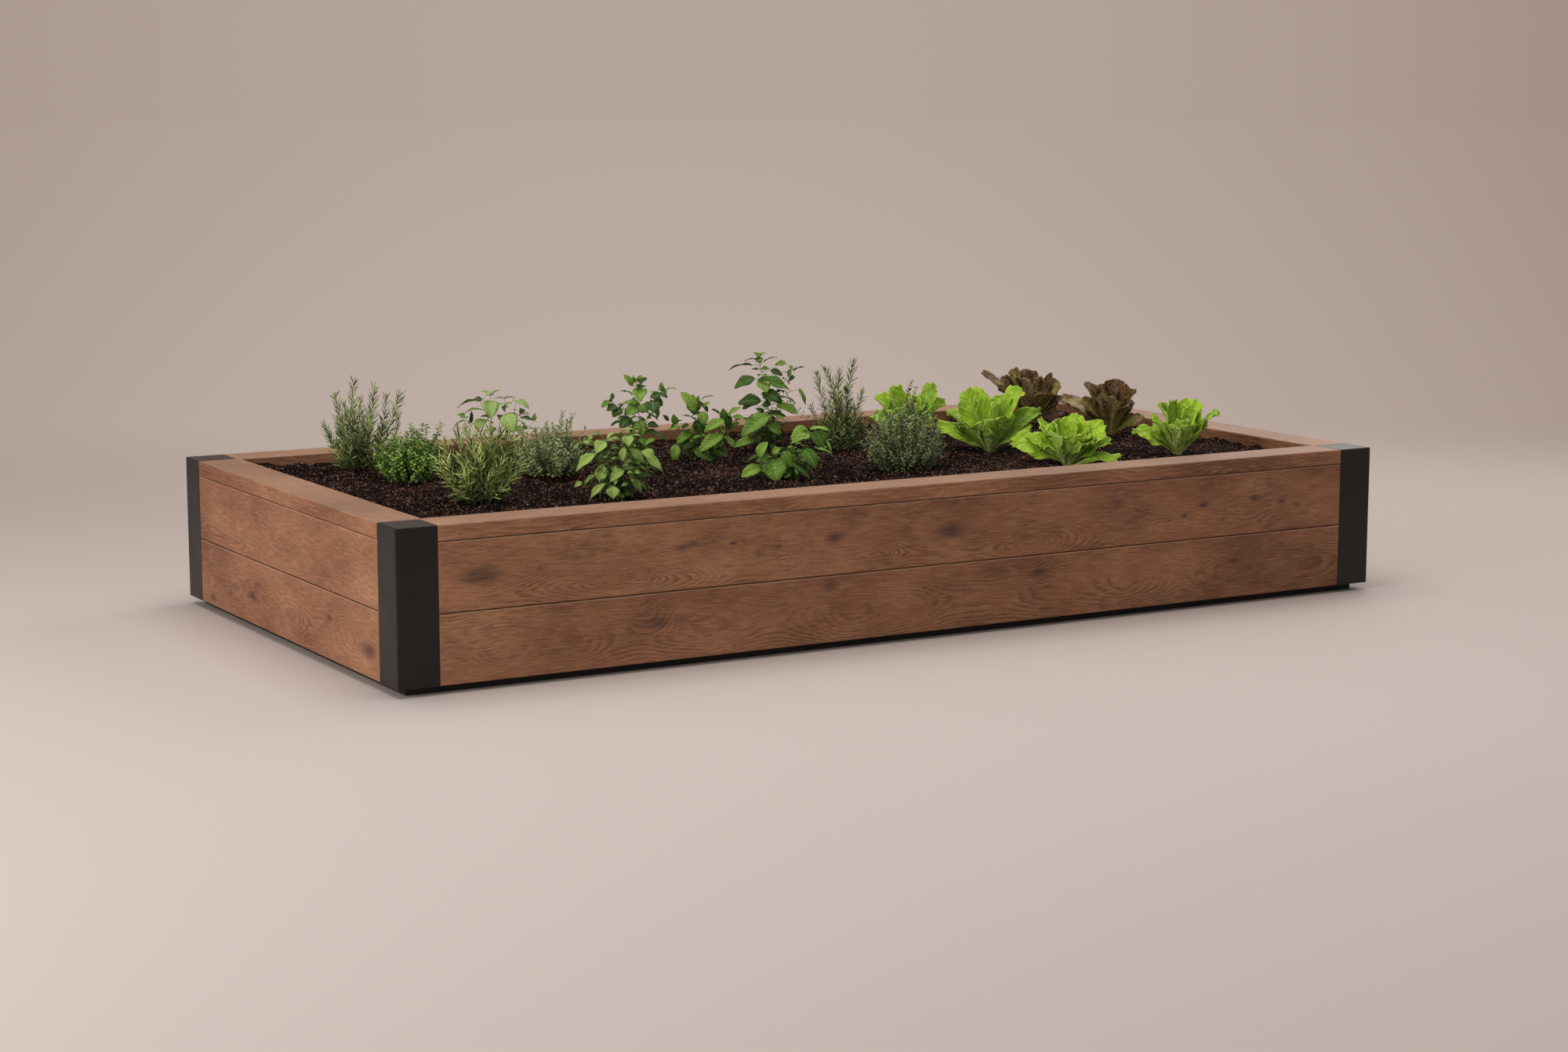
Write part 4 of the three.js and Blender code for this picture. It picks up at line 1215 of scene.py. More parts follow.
@dataclass(frozen=True)
class Habit:
    """How leaves stand on stems. Lengths are in millimetres and angles in degrees."""

    leaf: Leaf
    foot_length: float
    tip_length: float
    spacing: float
    whorl: int
    turn: float
    foot_pitch: float
    tip_pitch: float
    scatter: float
    bare: float
    stem: float
    roll: float
    spread: float = 0.1

    def inputs(self) -> dict[str, float]:
        """The habit as the foliage tree's inputs, in metres and radians."""
        return {
            "Foot length": self.foot_length * MM, "Tip length": self.tip_length * MM,
            "Spacing": self.spacing * MM, "Whorl": self.whorl, "Turn": math.radians(self.turn),
            "Foot pitch": math.radians(self.foot_pitch), "Tip pitch": math.radians(self.tip_pitch),
            "Scatter": math.radians(self.scatter), "Bare": self.bare, "Roll": math.radians(self.roll)}


@dataclass(frozen=True)
class Shoot:
    """A stem's tip, in millimetres right, up and away from the crown, and how it gets there."""

    right: float
    up: float
    away: float
    vigour: float = 1.0
    bow: float = 0.5
    start: tuple[float, float, float] = (0.0, 0.0, 0.0)


class Growth(Enum):
    """How the unnamed stems of a plant fill it out."""

    TUFT = "stems that rise together and lean out at the rim"
    DOME = "stems that end on a rounded outline"


@dataclass(frozen=True)
class Filling:
    """The unnamed stems: how many, and how wide and high they reach, in millimetres."""

    growth: Growth
    count: int
    width: float
    height: float
    bow: float = 0.5
    vigour: float = 1.0
    dome_edge: float = math.radians(118)

    def shoots(self, chance: random.Random) -> list[Shoot]:
        """The stems, spread evenly round the crown with a little chance."""
        made = []
        for number in range(self.count):
            share = (number + 0.5) / self.count
            angle = number * GOLDEN_TURN + chance.uniform(-0.3, 0.3)
            if self.growth is Growth.TUFT:
                reach = math.sqrt(share)
                up = self.height * (1 - 0.5 * share) * chance.uniform(0.72, 1.0)
            else:
                cone = self.dome_edge * share ** 0.62
                reach = math.sin(cone) * chance.uniform(0.82, 1.06)
                up = self.height * (0.45 + 0.55 * math.cos(cone)) * chance.uniform(0.82, 1.07)
            radius = self.width / 2 * reach
            made.append(Shoot(radius * math.cos(angle), up, radius * math.sin(angle),
                              self.vigour * chance.uniform(0.85, 1.1), self.bow))
        return made


@dataclass
class Stems:
    """Lines that a geometry tree turns into stems, with how far along, how thick and how leafy they are."""

    points: list[Vector] = field(default_factory=list)
    edges: list[tuple[int, int]] = field(default_factory=list)
    values: dict[str, list[float]] = field(
        default_factory=lambda: {"along": [], "girth": [], "vigour": []})

    def add(self, curve: Callable[[float], Vector], steps: int, girth: float, vigour: float) -> None:
        """Adds a line from the stem's foot to its tip.

        Args:
            curve: a point of the line for a share from 0 to 1.
            steps: how many pieces it is drawn in.
            girth: the radius at the foot, in metres.
            vigour: how large its leaves are. None grow at 0.
        """
        for step in range(steps + 1):
            share = step / steps
            if step:
                self.edges.append((len(self.points) - 1, len(self.points)))
            self.points.append(curve(share))
            self.values["along"].append(share)
            self.values["girth"].append(girth * (1.1 - 0.7 * share))
            self.values["vigour"].append(vigour)

    def nearest(self, place: Vector) -> Vector:
        """The nearest point of a stem that isn't above a place."""
        below = [point for point in self.points if point.z < place.z + 2 * MM]
        return min(below or self.points, key=lambda point: (point - place).length)

    def build(self) -> bpy.types.Object:
        """The lines as an object."""
        return add_object("lines", new_mesh("lines", self.points, [], self.edges, **self.values))


@dataclass(frozen=True)
class Herb:
    """A plant of stems and leaves, some of which are drawn one by one."""

    node: str
    habit: Habit
    skin: LeafSkin
    stem_skin: StemSkin
    filling: Filling | None
    seed: int
    stem_steps: int = 12
    drawn_leaf: Leaf | None = None

    @property
    def slot(self) -> str:
        """The finish slot, which plants of one kind share."""
        return self.node.split("_")[0] + "_green"

    def grow(self, stems: Stems, chance: random.Random) -> None:
        """Adds the shoots and the filling to the stems."""
        crown = crown_of(self.node)
        extra = self.filling.shoots(chance) if self.filling else []
        for shoot in (*(Shoot(*row) for row in SHOOTS[self.node]), *extra):
            tip = offset(shoot.right, shoot.up, shoot.away)
            level = Vector((tip.x, tip.y, 0.0))
            start = offset(*shoot.start)
            foot = start if start.length else level * self.habit.spread - UP * 0.008
            reach = tip - foot
            bend = Vector((reach.x, reach.y, 0.0)) * (1 - shoot.bow) + UP * (reach.z * shoot.bow)
            sway = Vector((chance.uniform(-1, 1), chance.uniform(-1, 1), 0.0)) * reach.length * 0.06

            def curve(share: float) -> Vector:
                """A point of the shoot."""
                way = bend * (2 * share * (1 - share)) + reach * share ** 2
                return crown + foot + way + sway * math.sin(math.pi * share)

            stems.add(curve, self.stem_steps, self.habit.stem / 2 * MM, shoot.vigour)

    def draw(self, stems: Stems, chance: random.Random) -> None:
        """Makes the leaves that are drawn one by one, and a stalk for each."""
        crown = crown_of(self.node)
        rows = [DrawnLeaf(*row) for row in DRAWN[self.node]]
        height = max(row.rise for row in rows)
        shell = Shell()
        stalks = []
        for number, row in enumerate(rows):
            foot, tip = (crown + end for end in row.ends(height, chance))
            row.add(shell, self.drawn_leaf, foot, tip, number)
            joint = stems.nearest(foot)
            middle = joint.lerp(foot, 0.5) + UP * ((foot - joint).length * 0.12)
            stalks.append((joint, middle, foot + (tip - foot) * 0.12))
        for joint, middle, foot in stalks:
            stems.add(lambda share: joint.lerp(middle, share).lerp(middle.lerp(foot, share), share),
                      4, 0.7 * MM, 0.0)
        piece = add_object(f"{self.node}_leaves", shell.mesh(f"{self.node}_leaves"))
        piece.data.materials.append(self.skin.material())
        declare(piece, self.slot)

    def build(self, tree: bpy.types.NodeTree) -> None:
        """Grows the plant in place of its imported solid."""
        chance = random.Random(self.seed)
        stems = Stems()
        self.grow(stems, chance)
        if self.drawn_leaf:
            self.draw(stems, chance)
        leaf = self.habit.leaf.build()
        piece = apply_nodes(f"{self.node}_plant", stems.build(), tree, self.habit.inputs() | {
            "Leaf": leaf, "Seed": self.seed, "Leaf skin": self.skin.material(),
            "Stem skin": self.stem_skin.material()})
        bpy.data.objects.remove(leaf)
        piece.data.shade_smooth()
        declare(piece, self.slot, self.node)


@dataclass(frozen=True)
class Lettuce:
    """A head of ruffled leaves round a heart, some of which are drawn one by one."""

    node: str
    skin: LettuceSkin
    filling: int
    width: float
    height: float
    seed: int
    inner: float = 74.0
    ruffle: float = 6.0
    scallop: float = 1.0
    behind: tuple[float, ...] = (40, 70, 100, 130, 155)
    steps: tuple[int, int] = (34, 26)
    thickness: float = 0.9
    rounded_from: float = 0.60
    first_behind: int = 80
    first_filling: int = 50

    def cap(self, share: float) -> float:
        """How far a point lies into a leaf's rounded end, from 0 to 1."""
        return max(0.0, (share - self.rounded_from) / (1 - self.rounded_from))

    def outline(self, share: float) -> float:
        """The half breadth of a leaf from its foot to its tip, as a share of the widest."""
        waist = min(1.0, max(0.0, (share - 0.02) / 0.62))
        swell = 0.16 + 0.84 * waist * waist * (3 - 2 * waist)
        return swell * (1 - 0.28 * self.cap(share) ** 2)

    def leaf(self, shell: Shell, crown: Vector, tip: Vector, breadth: float, facing: float,
             number: int) -> None:
        """Adds one leaf from the crown to its tip.

        Args:
            shell: takes the leaf.
            crown: where the head stands.
            tip: the leaf's tip, from the crown.
            breadth: how broad it is, in metres.
            facing: how far it turns its inner face to the viewer.
            number: which leaf it is, which sets its ruffles.
        """
        chance = random.Random(self.seed * 100 + number)
        level = Vector((tip.x, tip.y, 0.0))
        heading = level.normalized() if level.length > 1e-6 else Vector((1.0, 0.0, 0.0))
        side = UP.cross(heading)
        foot = crown + heading * 0.004 - UP * 0.006
        lean = level.length / (level.length + max(tip.z, 0.001))
        control = level * 0.42 + UP * (tip.z * (0.60 + 0.25 * lean) + 0.012 * lean)
        waves = chance.uniform(5.0, 7.0)
        start = chance.uniform(0, math.tau)
        cup = 0.35 - 0.5 * lean + chance.uniform(-0.08, 0.12)
        twist = chance.uniform(-0.25, 0.25)
        salt = Vector((number * 3.7, self.seed * 1.9, 0.0))

        def surface(u: float, v: float) -> Vector:
            """A point of the leaf's middle surface."""
            round_edge = math.atan2(v * 0.8, u - 0.45)
            scallop = math.sin(2.4 * waves * round_edge + 2 * start)
            scallop = (scallop + 0.3 * math.sin(17 * round_edge - start)) * self.scallop
            cap = self.cap(u) ** 2
            along = u - 0.10 * v * v * cap + 0.022 * scallop * cap
            centre = control * (2 * along * (1 - along)) + tip * along ** 2
            ahead = (control * (2 - 4 * u) + tip * (2 * u)).normalized()
            inner = FACING * (facing * min(1.0, 2 * u)) - side.cross(ahead).normalized()
            face = Quaternion(ahead, twist * u) @ (inner - ahead * inner.dot(ahead)).normalized()
            out = face.cross(ahead)
            half = breadth / 2 * self.outline(u) * (1 + 0.06 * scallop * abs(v) ** 4)
            margin = max(abs(v) ** 2.2, min(1.0, max(0.0, (u - 0.70) / 0.30)) ** 1.8)
            frill = math.sin(waves * round_edge + start) + 0.4 * math.sin(2.3 * waves * round_edge - start)
            pleat = 1.6 * MM * math.sin(9 * v * (0.4 + 0.6 * u)) * abs(v) ** 0.7 * u
            blister = noise.noise(Vector((u * 10, v * 6, 0.0)) + salt) * 3.4 * MM
            crease = -1.2 * MM * math.exp(-(v / 0.10) ** 2) * (1 - u)
            lift = (cup * half * v * v + self.ruffle * MM * margin * frill * min(1.0, 2.0 * u)
                    + (blister + pleat) * min(1.0, 3 * u) + crease)
            return foot + centre + out * (v * half * (1 - 0.08 * v * v)) + face * lift

        shell.blade(surface, self.steps, self.thickness * MM, chance.random())

    def build(self) -> None:
        """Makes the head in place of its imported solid."""
        crown = crown_of(self.node)
        shell = Shell()
        for number, (right, rise, away, breadth, facing) in enumerate(HEADS[self.node]):
            tip = seen(right, rise, away)
            tip.z = max(tip.z, 0.010)
            self.leaf(shell, crown, tip, breadth * MM, facing, number)
        self.fill(shell, crown)
        piece = add_object(f"{self.node}_head", shell.mesh(f"{self.node}_head"))
        piece.data.materials.append(self.skin.material())
        declare(piece, "lettuce_" + self.node.split("_")[0], self.node)

    def fill(self, shell: Shell, crown: Vector) -> None:
        """Adds the leaves that aren't drawn: some behind the head, then its heart."""
        chance = random.Random(self.seed)
        for number, degrees in enumerate(self.behind):
            angle = math.radians(degrees)
            reach = self.width * chance.uniform(0.40, 0.50)
            up = self.height * chance.uniform(0.48, 0.64)
            tip = offset(reach * math.cos(angle), up, reach * math.sin(angle))
            self.leaf(shell, crown, tip, (self.inner + 20) * MM, 0.0, self.first_behind + number)
        for number in range(self.filling):
            share = (number + 0.5) / self.filling
            angle = number * GOLDEN_TURN + chance.uniform(-0.2, 0.2)
            reach = self.width / 2 * (0.12 + 0.62 * share)
            up = self.height * (1.0 - 0.34 * share ** 1.4) * chance.uniform(0.90, 1.05)
            up *= 1 + 0.20 * math.sin(angle)
            tip = offset(reach * math.cos(angle), up, reach * math.sin(angle))
            breadth = (self.inner + 30 * share) * MM
            self.leaf(shell, crown, tip, breadth, 0.0, self.first_filling + number)


# A shoot's row holds what Shoot takes: its tip, then its vigour, its bow and its start where they
# differ from the usual ones.
SHOOTS: dict[str, tuple[tuple[float | tuple[float, ...], ...], ...]] = {
    "rosemary_left_back": (
        (-50, 154, 10, 1, 0.45), (-7, 184, 0), (36, 172, 12), (94, 160, -5, 1, 0.4),
        (-70, 96, -20, 0.8, 0.35), (88, 112, 20, 0.8, 0.35), (58, 150, 40, 0.9, 0.45),
        (-25, 142, -35, 0.9), (12, 150, -40, 0.9)),
    "rosemary_left_front": (
        (-48, 134, 10, 1, 0.55), (-27, 144, -10, 1, 0.55), (-5, 140, 20, 1, 0.55), (21, 145, -15, 1, 0.55),
        (40, 137, 15, 1, 0.55), (64, 124, 0, 1, 0.6), (85, 104, 10, 1, 0.65), (-72, 112, 0, 1, 0.6),
        (-85, 80, -10, 1, 0.65), (-64, 40, -30, 0.8, 0.7), (77, 56, -20, 0.8, 0.7),
        (-30, 60, -60, 0.9, 0.7), (34, 66, -62, 0.9, 0.7), (2, 84, -58, 0.9, 0.65),
        (50, 30, -50, 0.8, 0.75)),
    "rosemary_centre": (
        (-62, 172, 5, 1, 0.4), (-38, 180, 0, 1, 0.45), (-9, 177, 10), (22, 200, -5), (44, 128, 0, 1, 0.45),
        (-74, 98, -10, 0.8, 0.4), (-22, 150, -25, 0.9), (8, 140, 30, 0.9)),
    "thyme_left": (
        (26, 134, 5, 1.1), (48, 128, 10, 1.1), (-7, 112, 0), (-30, 98, 5), (76, 104, 0),
        (38, 116, -10, 1.1)),
    "thyme_centre": (
        (14, 190, 10, 1.3, 0.6), (24, 176, 16, 1.2, 0.6), (6, 168, 4, 1.1, 0.6)),
    "oregano_left": (
        (2, 117, 0, 0.9), (27, 117, 5, 1.1), (66, 117, 8, 1.2, 0.6), (34, 112, 20, 1.1), (58, 98, -5)),
    "sage_left_back": (
        (-23, 150, 0, 0.5), (-46, 138, 0, 0.5, 0.6), (-80, 100, -4, 0.5, 0.6), (8, 143, 4, 0.5),
        (52, 112, 4, 0.5, 0.45), (74, 94, 0, 0.5, 0.4), (-36, 96, -18, 0.5), (30, 76, -20, 0.5),
        (34, 136, 10, 0.5), (5, 100, 34, 0.8), (-40, 84, 30, 0.8), (44, 70, 34, 0.8)),
    "basil_left_front": (
        (-30, 113, 0, 0.7), (-56, 106, 0, 0.7, 0.6), (-78, 112, 0, 0.7, 0.6), (-2, 128, 0, 0.7),
        (18, 124, 4, 0.7), (48, 88, 0, 0.7), (-40, 64, -24, 0.7), (-14, 26, -26, 0.7, 0.6),
        (26, 52, -26, 0.7), (-60, 30, -20, 0.7, 0.6), (80, 9, -14, 0.0, 0.7, (45, 38, -14)),
        (-16, 84, 30, 0.8), (26, 74, 34, 0.8), (-44, 66, 30, 0.8), (2, 56, 10, 0.9), (50, 48, 24, 0.8)),
    "mint_left": (
        (-3, 204, 0, 0.7), (-58, 158, 0, 0.7, 0.5, (-3, 96, 0)), (32, 140, 0, 0.7, 0.5, (-1, 92, 0)),
        (50, 184, 0, 0.7, 0.6, (30, 130, 0)), (-20, 118, -14, 0.7), (14, 90, -20, 0.7), (-6, 120, 26, 0.8),
        (24, 100, 24, 0.8), (-30, 84, 16, 0.8), (2, 60, 10, 0.8)),
    "mint_centre": (
        (-14, 116, 0, 0.7), (50, 106, 0, 0.7, 0.45), (-62, 82, 0, 0.7), (-30, 62, -20, 0.7),
        (44, 58, -20, 0.7), (-56, 36, -26, 0.7, 0.6), (72, 90, -2, 0.7), (4, 24, -28, 0.7, 0.6),
        (-8, 84, 30, 0.8), (34, 70, 30, 0.8), (-40, 60, 24, 0.8), (6, 50, 6, 0.9)),
    "mint_tall": (
        (-27, 206, 0, 0.6, 0.55), (50, 180, 0, 0.6, 0.55, (16, 106, 0)), (18, 112, 0, 0.7),
        (100, 60, -8, 0.4, 0.75, (36, 132, 0)), (-20, 84, -16, 0.7), (10, 72, -22, 0.7),
        (-30, 30, -30, 0.7, 0.6), (-6, 90, 30, 0.8), (20, 60, 26, 0.8), (-34, 66, 20, 0.8)),
    "mint_front": (
        (48, 100, 0, 0.7), (-30, 50, -14, 0.7), (-58, 48, -6, 0.7, 0.6), (0, 64, -14, 0.7),
        (36, 60, -18, 0.7), (86, 84, 0, 0.7), (-52, 26, -22, 0.7, 0.6), (18, 26, -28, 0.7, 0.6),
        (6, 56, 26, 0.9), (-34, 46, 20, 0.9), (44, 54, 26, 0.9), (4, 40, 0, 0.9))}
# A row holds what DrawnLeaf takes.
DRAWN: dict[str, tuple[tuple[float, ...], ...]] = {
    "sage_left_back": (
        (-22, 150, -42, 157, 14, 60, 0.8), (-22, 150, -3, 160, 14, 60, 0.8),
        (-22, 156, -24, 149, 16, 30, 0.8), (-40, 138, -57, 140, 12, 30, 0.1),
        (-45, 137, -92, 122, 20, 80, 0.2), (-28, 138, -20, 100, 34, 15, 0.9),
        (-42, 117, -78, 108, 10, 60, 0.7), (-80, 100, -96, 106, 12, 20, 0.6),
        (-72, 84, -66, 112, 10, 50, 0.1), (-80, 94, -104, 76, 12, 60, 0.6),
        (-36, 96, -50, 72, 24, 20, 0.8), (-20, 97, -42, 101, 14, 50, 0.1), (10, 128, -8, 125, 10, 50, 0.8),
        (10, 128, 25, 131, 10, 50, 0.8), (10, 128, 8, 115, 10, 30, 0.7), (8, 143, -12, 141, 8, 78, 0.6),
        (8, 143, 32, 142, 8, 78, 0.6), (33, 137, 60, 122, 16, 30, 0.7), (52, 110, 46, 120, 12, 20, 0.4),
        (40, 104, 18, 108, 8, 75, 0.3), (40, 104, 63, 105, 8, 75, 0.3), (72, 93, 47, 98, 12, 35, 0.1),
        (10, 106, 30, 68, 36, 10, 1), (-8, 106, 8, 82, 14, 40, 0.1), (74, 92, 78, 108, 9, 20, 0.6),
        (35, 80, 50, 60, 16, 20, 0.8), (24, 70, 12, 60, 10, 10, 0)),
    "basil_left_front": (
        (-30, 113, -50, 89, 26, 15, 0.9), (-56, 105, -78, 111, 14, 30, 0.7),
        (-78, 112, -99, 91, 10, 60, 0.7), (-48, 89, -88, 54, 22, 20, 0.9), (0, 117, -28, 113, 14, 50, 0.8),
        (-12, 131, -28, 117, 12, 40, 0.8), (12, 125, 16, 103, 24, 15, 0.9), (20, 125, 40, 123, 8, 50, 0.8),
        (-4, 130, 32, 135, 10, 60, 0.8), (8, 103, 4, 75, 15, 10, 0.8), (16, 99, 45, 69, 18, 20, 0.6),
        (42, 93, 68, 77, 22, 20, 0.8), (48, 85, 82, 54, 18, 15, 0.9), (55, 71, 74, 51, 14, 30, 0.1),
        (-38, 67, -40, 29, 24, 5, 0.9), (-50, 47, -75, 21, 10, 30, 0.6), (-78, 29, -94, 19, 10, 10, 0.7),
        (-30, 27, -60, -7, 15, 15, 0.9), (-14, 21, -14, -15, 25, 5, 1), (8, 55, -20, 31, 22, 15, 0.8),
        (-20, 53, -38, 27, 16, 20, 0.3), (30, 59, 6, 55, 12, 20, 0.3), (22, 53, 48, 39, 12, 20, 0.2),
        (26, 39, 40, 9, 14, 10, 0.5), (-2, 99, -22, 96, 7, 40, 0.5), (-60, 127, -66, 116, 10, 10, 0.7),
        (-45, 129, -58, 131, 9, 20, 0.6), (-20, 93, -46, 89, 14, 35, 0.2), (-16, 81, -44, 77, 14, 35, 0.3)),
    "mint_left": (
        (-12, 192, -30, 213, 14, 15, 0.8), (-5, 198, -10, 214, 8, 40, 0.9), (0, 200, 6, 214, 10, 20, 0.6),
        (2, 198, 18, 208, 10, 15, 0.2), (-4, 184, 15, 190, 10, 30, 0.1), (-14, 174, -38, 179, 7, 50, 0.3),
        (2, 186, 3, 161, 27, 5, 0.9), (5, 152, -30, 153, 14, 30, 0.7), (0, 148, -22, 128, 26, 10, 0.6),
        (4, 150, 20, 134, 20, 15, 0.5), (-12, 142, -28, 130, 16, 20, 0.1),
        (-62, 158, -78, 146, 12, 10, 0.6), (-57, 162, -56, 175, 8, 10, 0.5),
        (-48, 148, -66, 138, 17, 10, 0.15), (-36, 142, -54, 126, 18, 10, 0),
        (-44, 138, -30, 153, 8, 40, 0.2), (50, 186, 50, 199, 9, 10, 0.7), (60, 184, 80, 185, 6, 40, 0.8),
        (62, 178, 44, 184, 10, 20, 0.6), (48, 172, 28, 166, 16, 10, 0.2), (50, 175, 62, 166, 10, 15, 0.1),
        (34, 164, 50, 150, 16, 10, 0), (30, 158, 34, 134, 27, 5, 0), (26, 150, 16, 156, 8, 20, 0),
        (28, 128, 18, 120, 5, 30, 0.2), (28, 128, 42, 118, 5, 30, 0.2), (-16, 122, -38, 102, 24, 10, 0.1),
        (-42, 115, -60, 104, 8, 30, 0.2), (4, 118, 8, 86, 18, 20, 0.8), (-4, 116, -10, 94, 10, 15, 1),
        (20, 108, 42, 102, 14, 20, 0), (10, 92, 55, 76, 18, 40, 0.2), (2, 76, 20, 56, 14, 30, 0.6),
        (15, 62, 36, 74, 12, 30, 0.8)),
    "mint_centre": (
        (-18, 108, -48, 147, 24, 15, 0.9), (-15, 112, -24, 144, 16, 15, 0.9),
        (-12, 112, -12, 142, 12, 15, 0.9), (-12, 104, -36, 118, 16, 10, 0), (10, 108, -12, 130, 9, 20, 0),
        (0, 118, 13, 128, 9, 20, 0.6), (-5, 137, 20, 142, 6, 60, 0.5), (-4, 108, 0, 80, 20, 10, 0.8),
        (-20, 88, -4, 58, 24, 10, 0.2), (-22, 92, -48, 98, 8, 50, 0.5), (48, 88, 6, 64, 22, 15, 0.8),
        (-34, 80, -48, 71, 9, 10, 0), (-62, 80, -68, 100, 14, 10, 0.5), (-80, 88, -92, 100, 8, 10, 0),
        (-50, 74, -80, 66, 10, 30, 0.7), (-62, 34, -64, -4, 21, 5, 1), (-30, 60, -58, 36, 20, 15, 0.6),
        (0, 54, -28, 44, 9, 30, 0.8), (44, 56, -6, 18, 27, 10, 0.7), (-20, 44, -48, 22, 22, 15, 0.1),
        (-22, 18, 18, -5, 20, 15, 0.3), (22, 20, 52, 8, 22, 15, 0.1), (50, 50, 70, 28, 13, 10, 0.8),
        (36, 104, 19, 113, 6, 20, 0), (44, 92, 44, 113, 16, 15, 0.5), (50, 106, 56, 72, 18, 15, 0.1),
        (58, 102, 82, 115, 12, 20, 0.8), (64, 96, 96, 90, 10, 20, 0.8), (72, 88, 110, 90, 6, 50, 0.1),
        (80, 84, 64, 72, 10, 20, 0.5)),
    "mint_tall": (
        (-27, 208, -37, 215, 8, 30, 0.7), (-27, 208, -12, 215, 6, 30, 0.7),
        (-27, 217, -27, 206, 12, 20, 0.8), (-27, 206, -24, 192, 16, 15, 0.6),
        (-30, 200, -57, 195, 8, 70, 0.4), (-14, 194, 14, 203, 8, 75, 0.4),
        (-40, 186, -90, 175, 12, 78, 0.2), (-26, 178, -40, 178, 6, 30, 0.1),
        (-20, 178, -2, 178, 12, 30, 0.6), (2, 176, 27, 164, 14, 10, 0.1),
        (-35, 157, -77, 136, 25, 20, 0.4), (-28, 152, 38, 132, 30, 30, 0.5),
        (-20, 150, -8, 125, 27, 10, 0.9), (-16, 122, 24, 102, 28, 15, 0.1),
        (-20, 104, -68, 98, 28, 20, 0.15), (-32, 103, -60, 86, 16, 20, 0), (2, 100, -14, 90, 14, 10, 0),
        (18, 112, 56, 100, 5, 60, 0), (16, 94, 62, 74, 21, 20, 0.9), (-4, 76, 34, 68, 14, 20, 0),
        (-14, 76, -28, 84, 12, 15, 0.1), (-2, 70, -60, 24, 35, 10, 0.7), (0, 70, 38, 54, 10, 50, 0.8),
        (-6, 52, 22, 28, 24, 10, 1), (10, 40, -44, 22, 16, 40, 0), (38, 193, 15, 188, 12, 10, 0.6),
        (48, 178, 45, 162, 9, 15, 0.5), (58, 162, 46, 152, 10, 15, 0.2), (54, 174, 78, 182, 6, 40, 0),
        (68, 132, 82, 98, 9, 20, 0.6), (-33, 14, -78, -12, 20, 10, 1)),
    "mint_front": (
        (-28, 43, -22, -13, 47, 0, 0.6), (-56, 23, -94, 5, 25, 10, 0.9), (-60, 47, -42, 75, 22, 20, 0.9),
        (-58, 49, -42, 31, 20, 15, 0.3), (-32, 55, -12, 63, 14, 20, 0.9), (-8, 59, 8, 27, 22, 10, 0.5),
        (2, 69, 18, 53, 14, 20, 0.5), (36, 63, 62, 27, 27, 10, 0.4), (50, 101, 14, 85, 34, 10, 0.7),
        (44, 89, 12, 75, 14, 30, 0.6), (50, 107, 90, 103, 12, 40, 0.9), (60, 103, 78, 71, 28, 10, 0.4),
        (86, 83, 97, 57, 5, 10, 0.9), (64, 65, 95, 53, 8, 40, 0.8), (18, 27, 48, 1, 12, 20, 0.2),
        (-60, 51, -82, 37, 8, 30, 0.1))}
# A row holds a leaf's tip to the right of the crown, above it and away from the viewer, its breadth,
# and how far it turns its inner face to the viewer.
HEADS: dict[str, tuple[tuple[float, float, float, float, float], ...]] = {
    "green_lettuce_back": (
        (-66, 125, 0, 73, 0.9), (-28, 147, 6, 66, 0.6), (64, 148, 2, 73, 0.7), (86, 113, 10, 44, 0.6),
        (20, 124, 14, 73, 0.4), (40, 108, -10, 63, 0.3), (-46, 92, -24, 68, 0.2), (4, 104, -26, 73, 0.1)),
    "green_lettuce_middle": (
        (-60, 142, 5, 117, 1.3), (-125, 62, 0, 68, 0.9), (-55, 62, -38, 127, 0.0), (18, 122, -12, 59, 0.4),
        (68, 149, 4, 85, 0.7), (38, 136, 22, 66, 0.3), (112, 100, 0, 54, 0.9), (90, 60, -20, 66, 0.4),
        (34, 84, -40, 90, 0.0), (-96, 100, 14, 68, 0.8), (2, 64, -46, 81, 0.1)),
    "green_lettuce_front": (
        (-126, 56, -6, 76, 0.9), (-90, 70, 0, 54, 0.7), (-62, 106, 22, 56, 0.5), (-38, 98, 8, 98, 1.0),
        (-8, 60, -38, 105, 0.0), (20, 119, 14, 73, 0.6), (44, 68, -34, 85, 0.0), (78, 96, 4, 81, 1.0),
        (113, 20, -22, 46, 0.8), (92, 60, -6, 59, 0.7), (-56, 44, -36, 73, 0.2)),
    "green_lettuce_right": (
        (-104, 60, -4, 56, 0.7), (-40, 126, 0, 51, 0.5), (38, 131, 12, 81, 0.6), (42, 106, -18, 41, 0.1),
        (86, 104, -4, 59, 0.2), (10, 86, -28, 54, 0.0), (62, 82, 10, 49, 0.6), (-62, 92, -6, 56, 0.5),
        (-26, 70, -30, 61, 0.1)),
    "red_lettuce_back": (
        (-126, 132, 0, 60, 0.8), (-86, 90, -14, 30, 0.0), (-78, 120, -4, 54, 0.6), (-52, 141, 14, 75, 0.6),
        (-18, 141, 18, 81, 0.4), (-32, 120, -14, 84, 0.1), (12, 120, 8, 75, 0.7), (42, 130, 4, 33, 0.8),
        (62, 106, -4, 99, 0.5), (68, 70, -8, 63, 0.5), (74, 30, 0, 51, 0.6), (10, 76, -34, 90, 0.1),
        (-48, 76, -30, 84, 0.1)),
    "red_lettuce_right": (
        (-118, 88, 0, 90, 0.7), (-61, 128, 6, 51, 0.5), (-45, 120, 14, 51, 0.4), (-20, 125, 24, 75, 0.6),
        (-27, 98, -22, 93, 0.1), (12, 136, 2, 81, 0.7), (37, 98, -6, 72, 0.4), (56, 112, 8, 24, 0.6),
        (-5, 72, -32, 69, 0.0), (76, 43, 0, 57, 0.8), (-70, 84, -8, 75, 0.5), (40, 66, -26, 78, 0.1))}


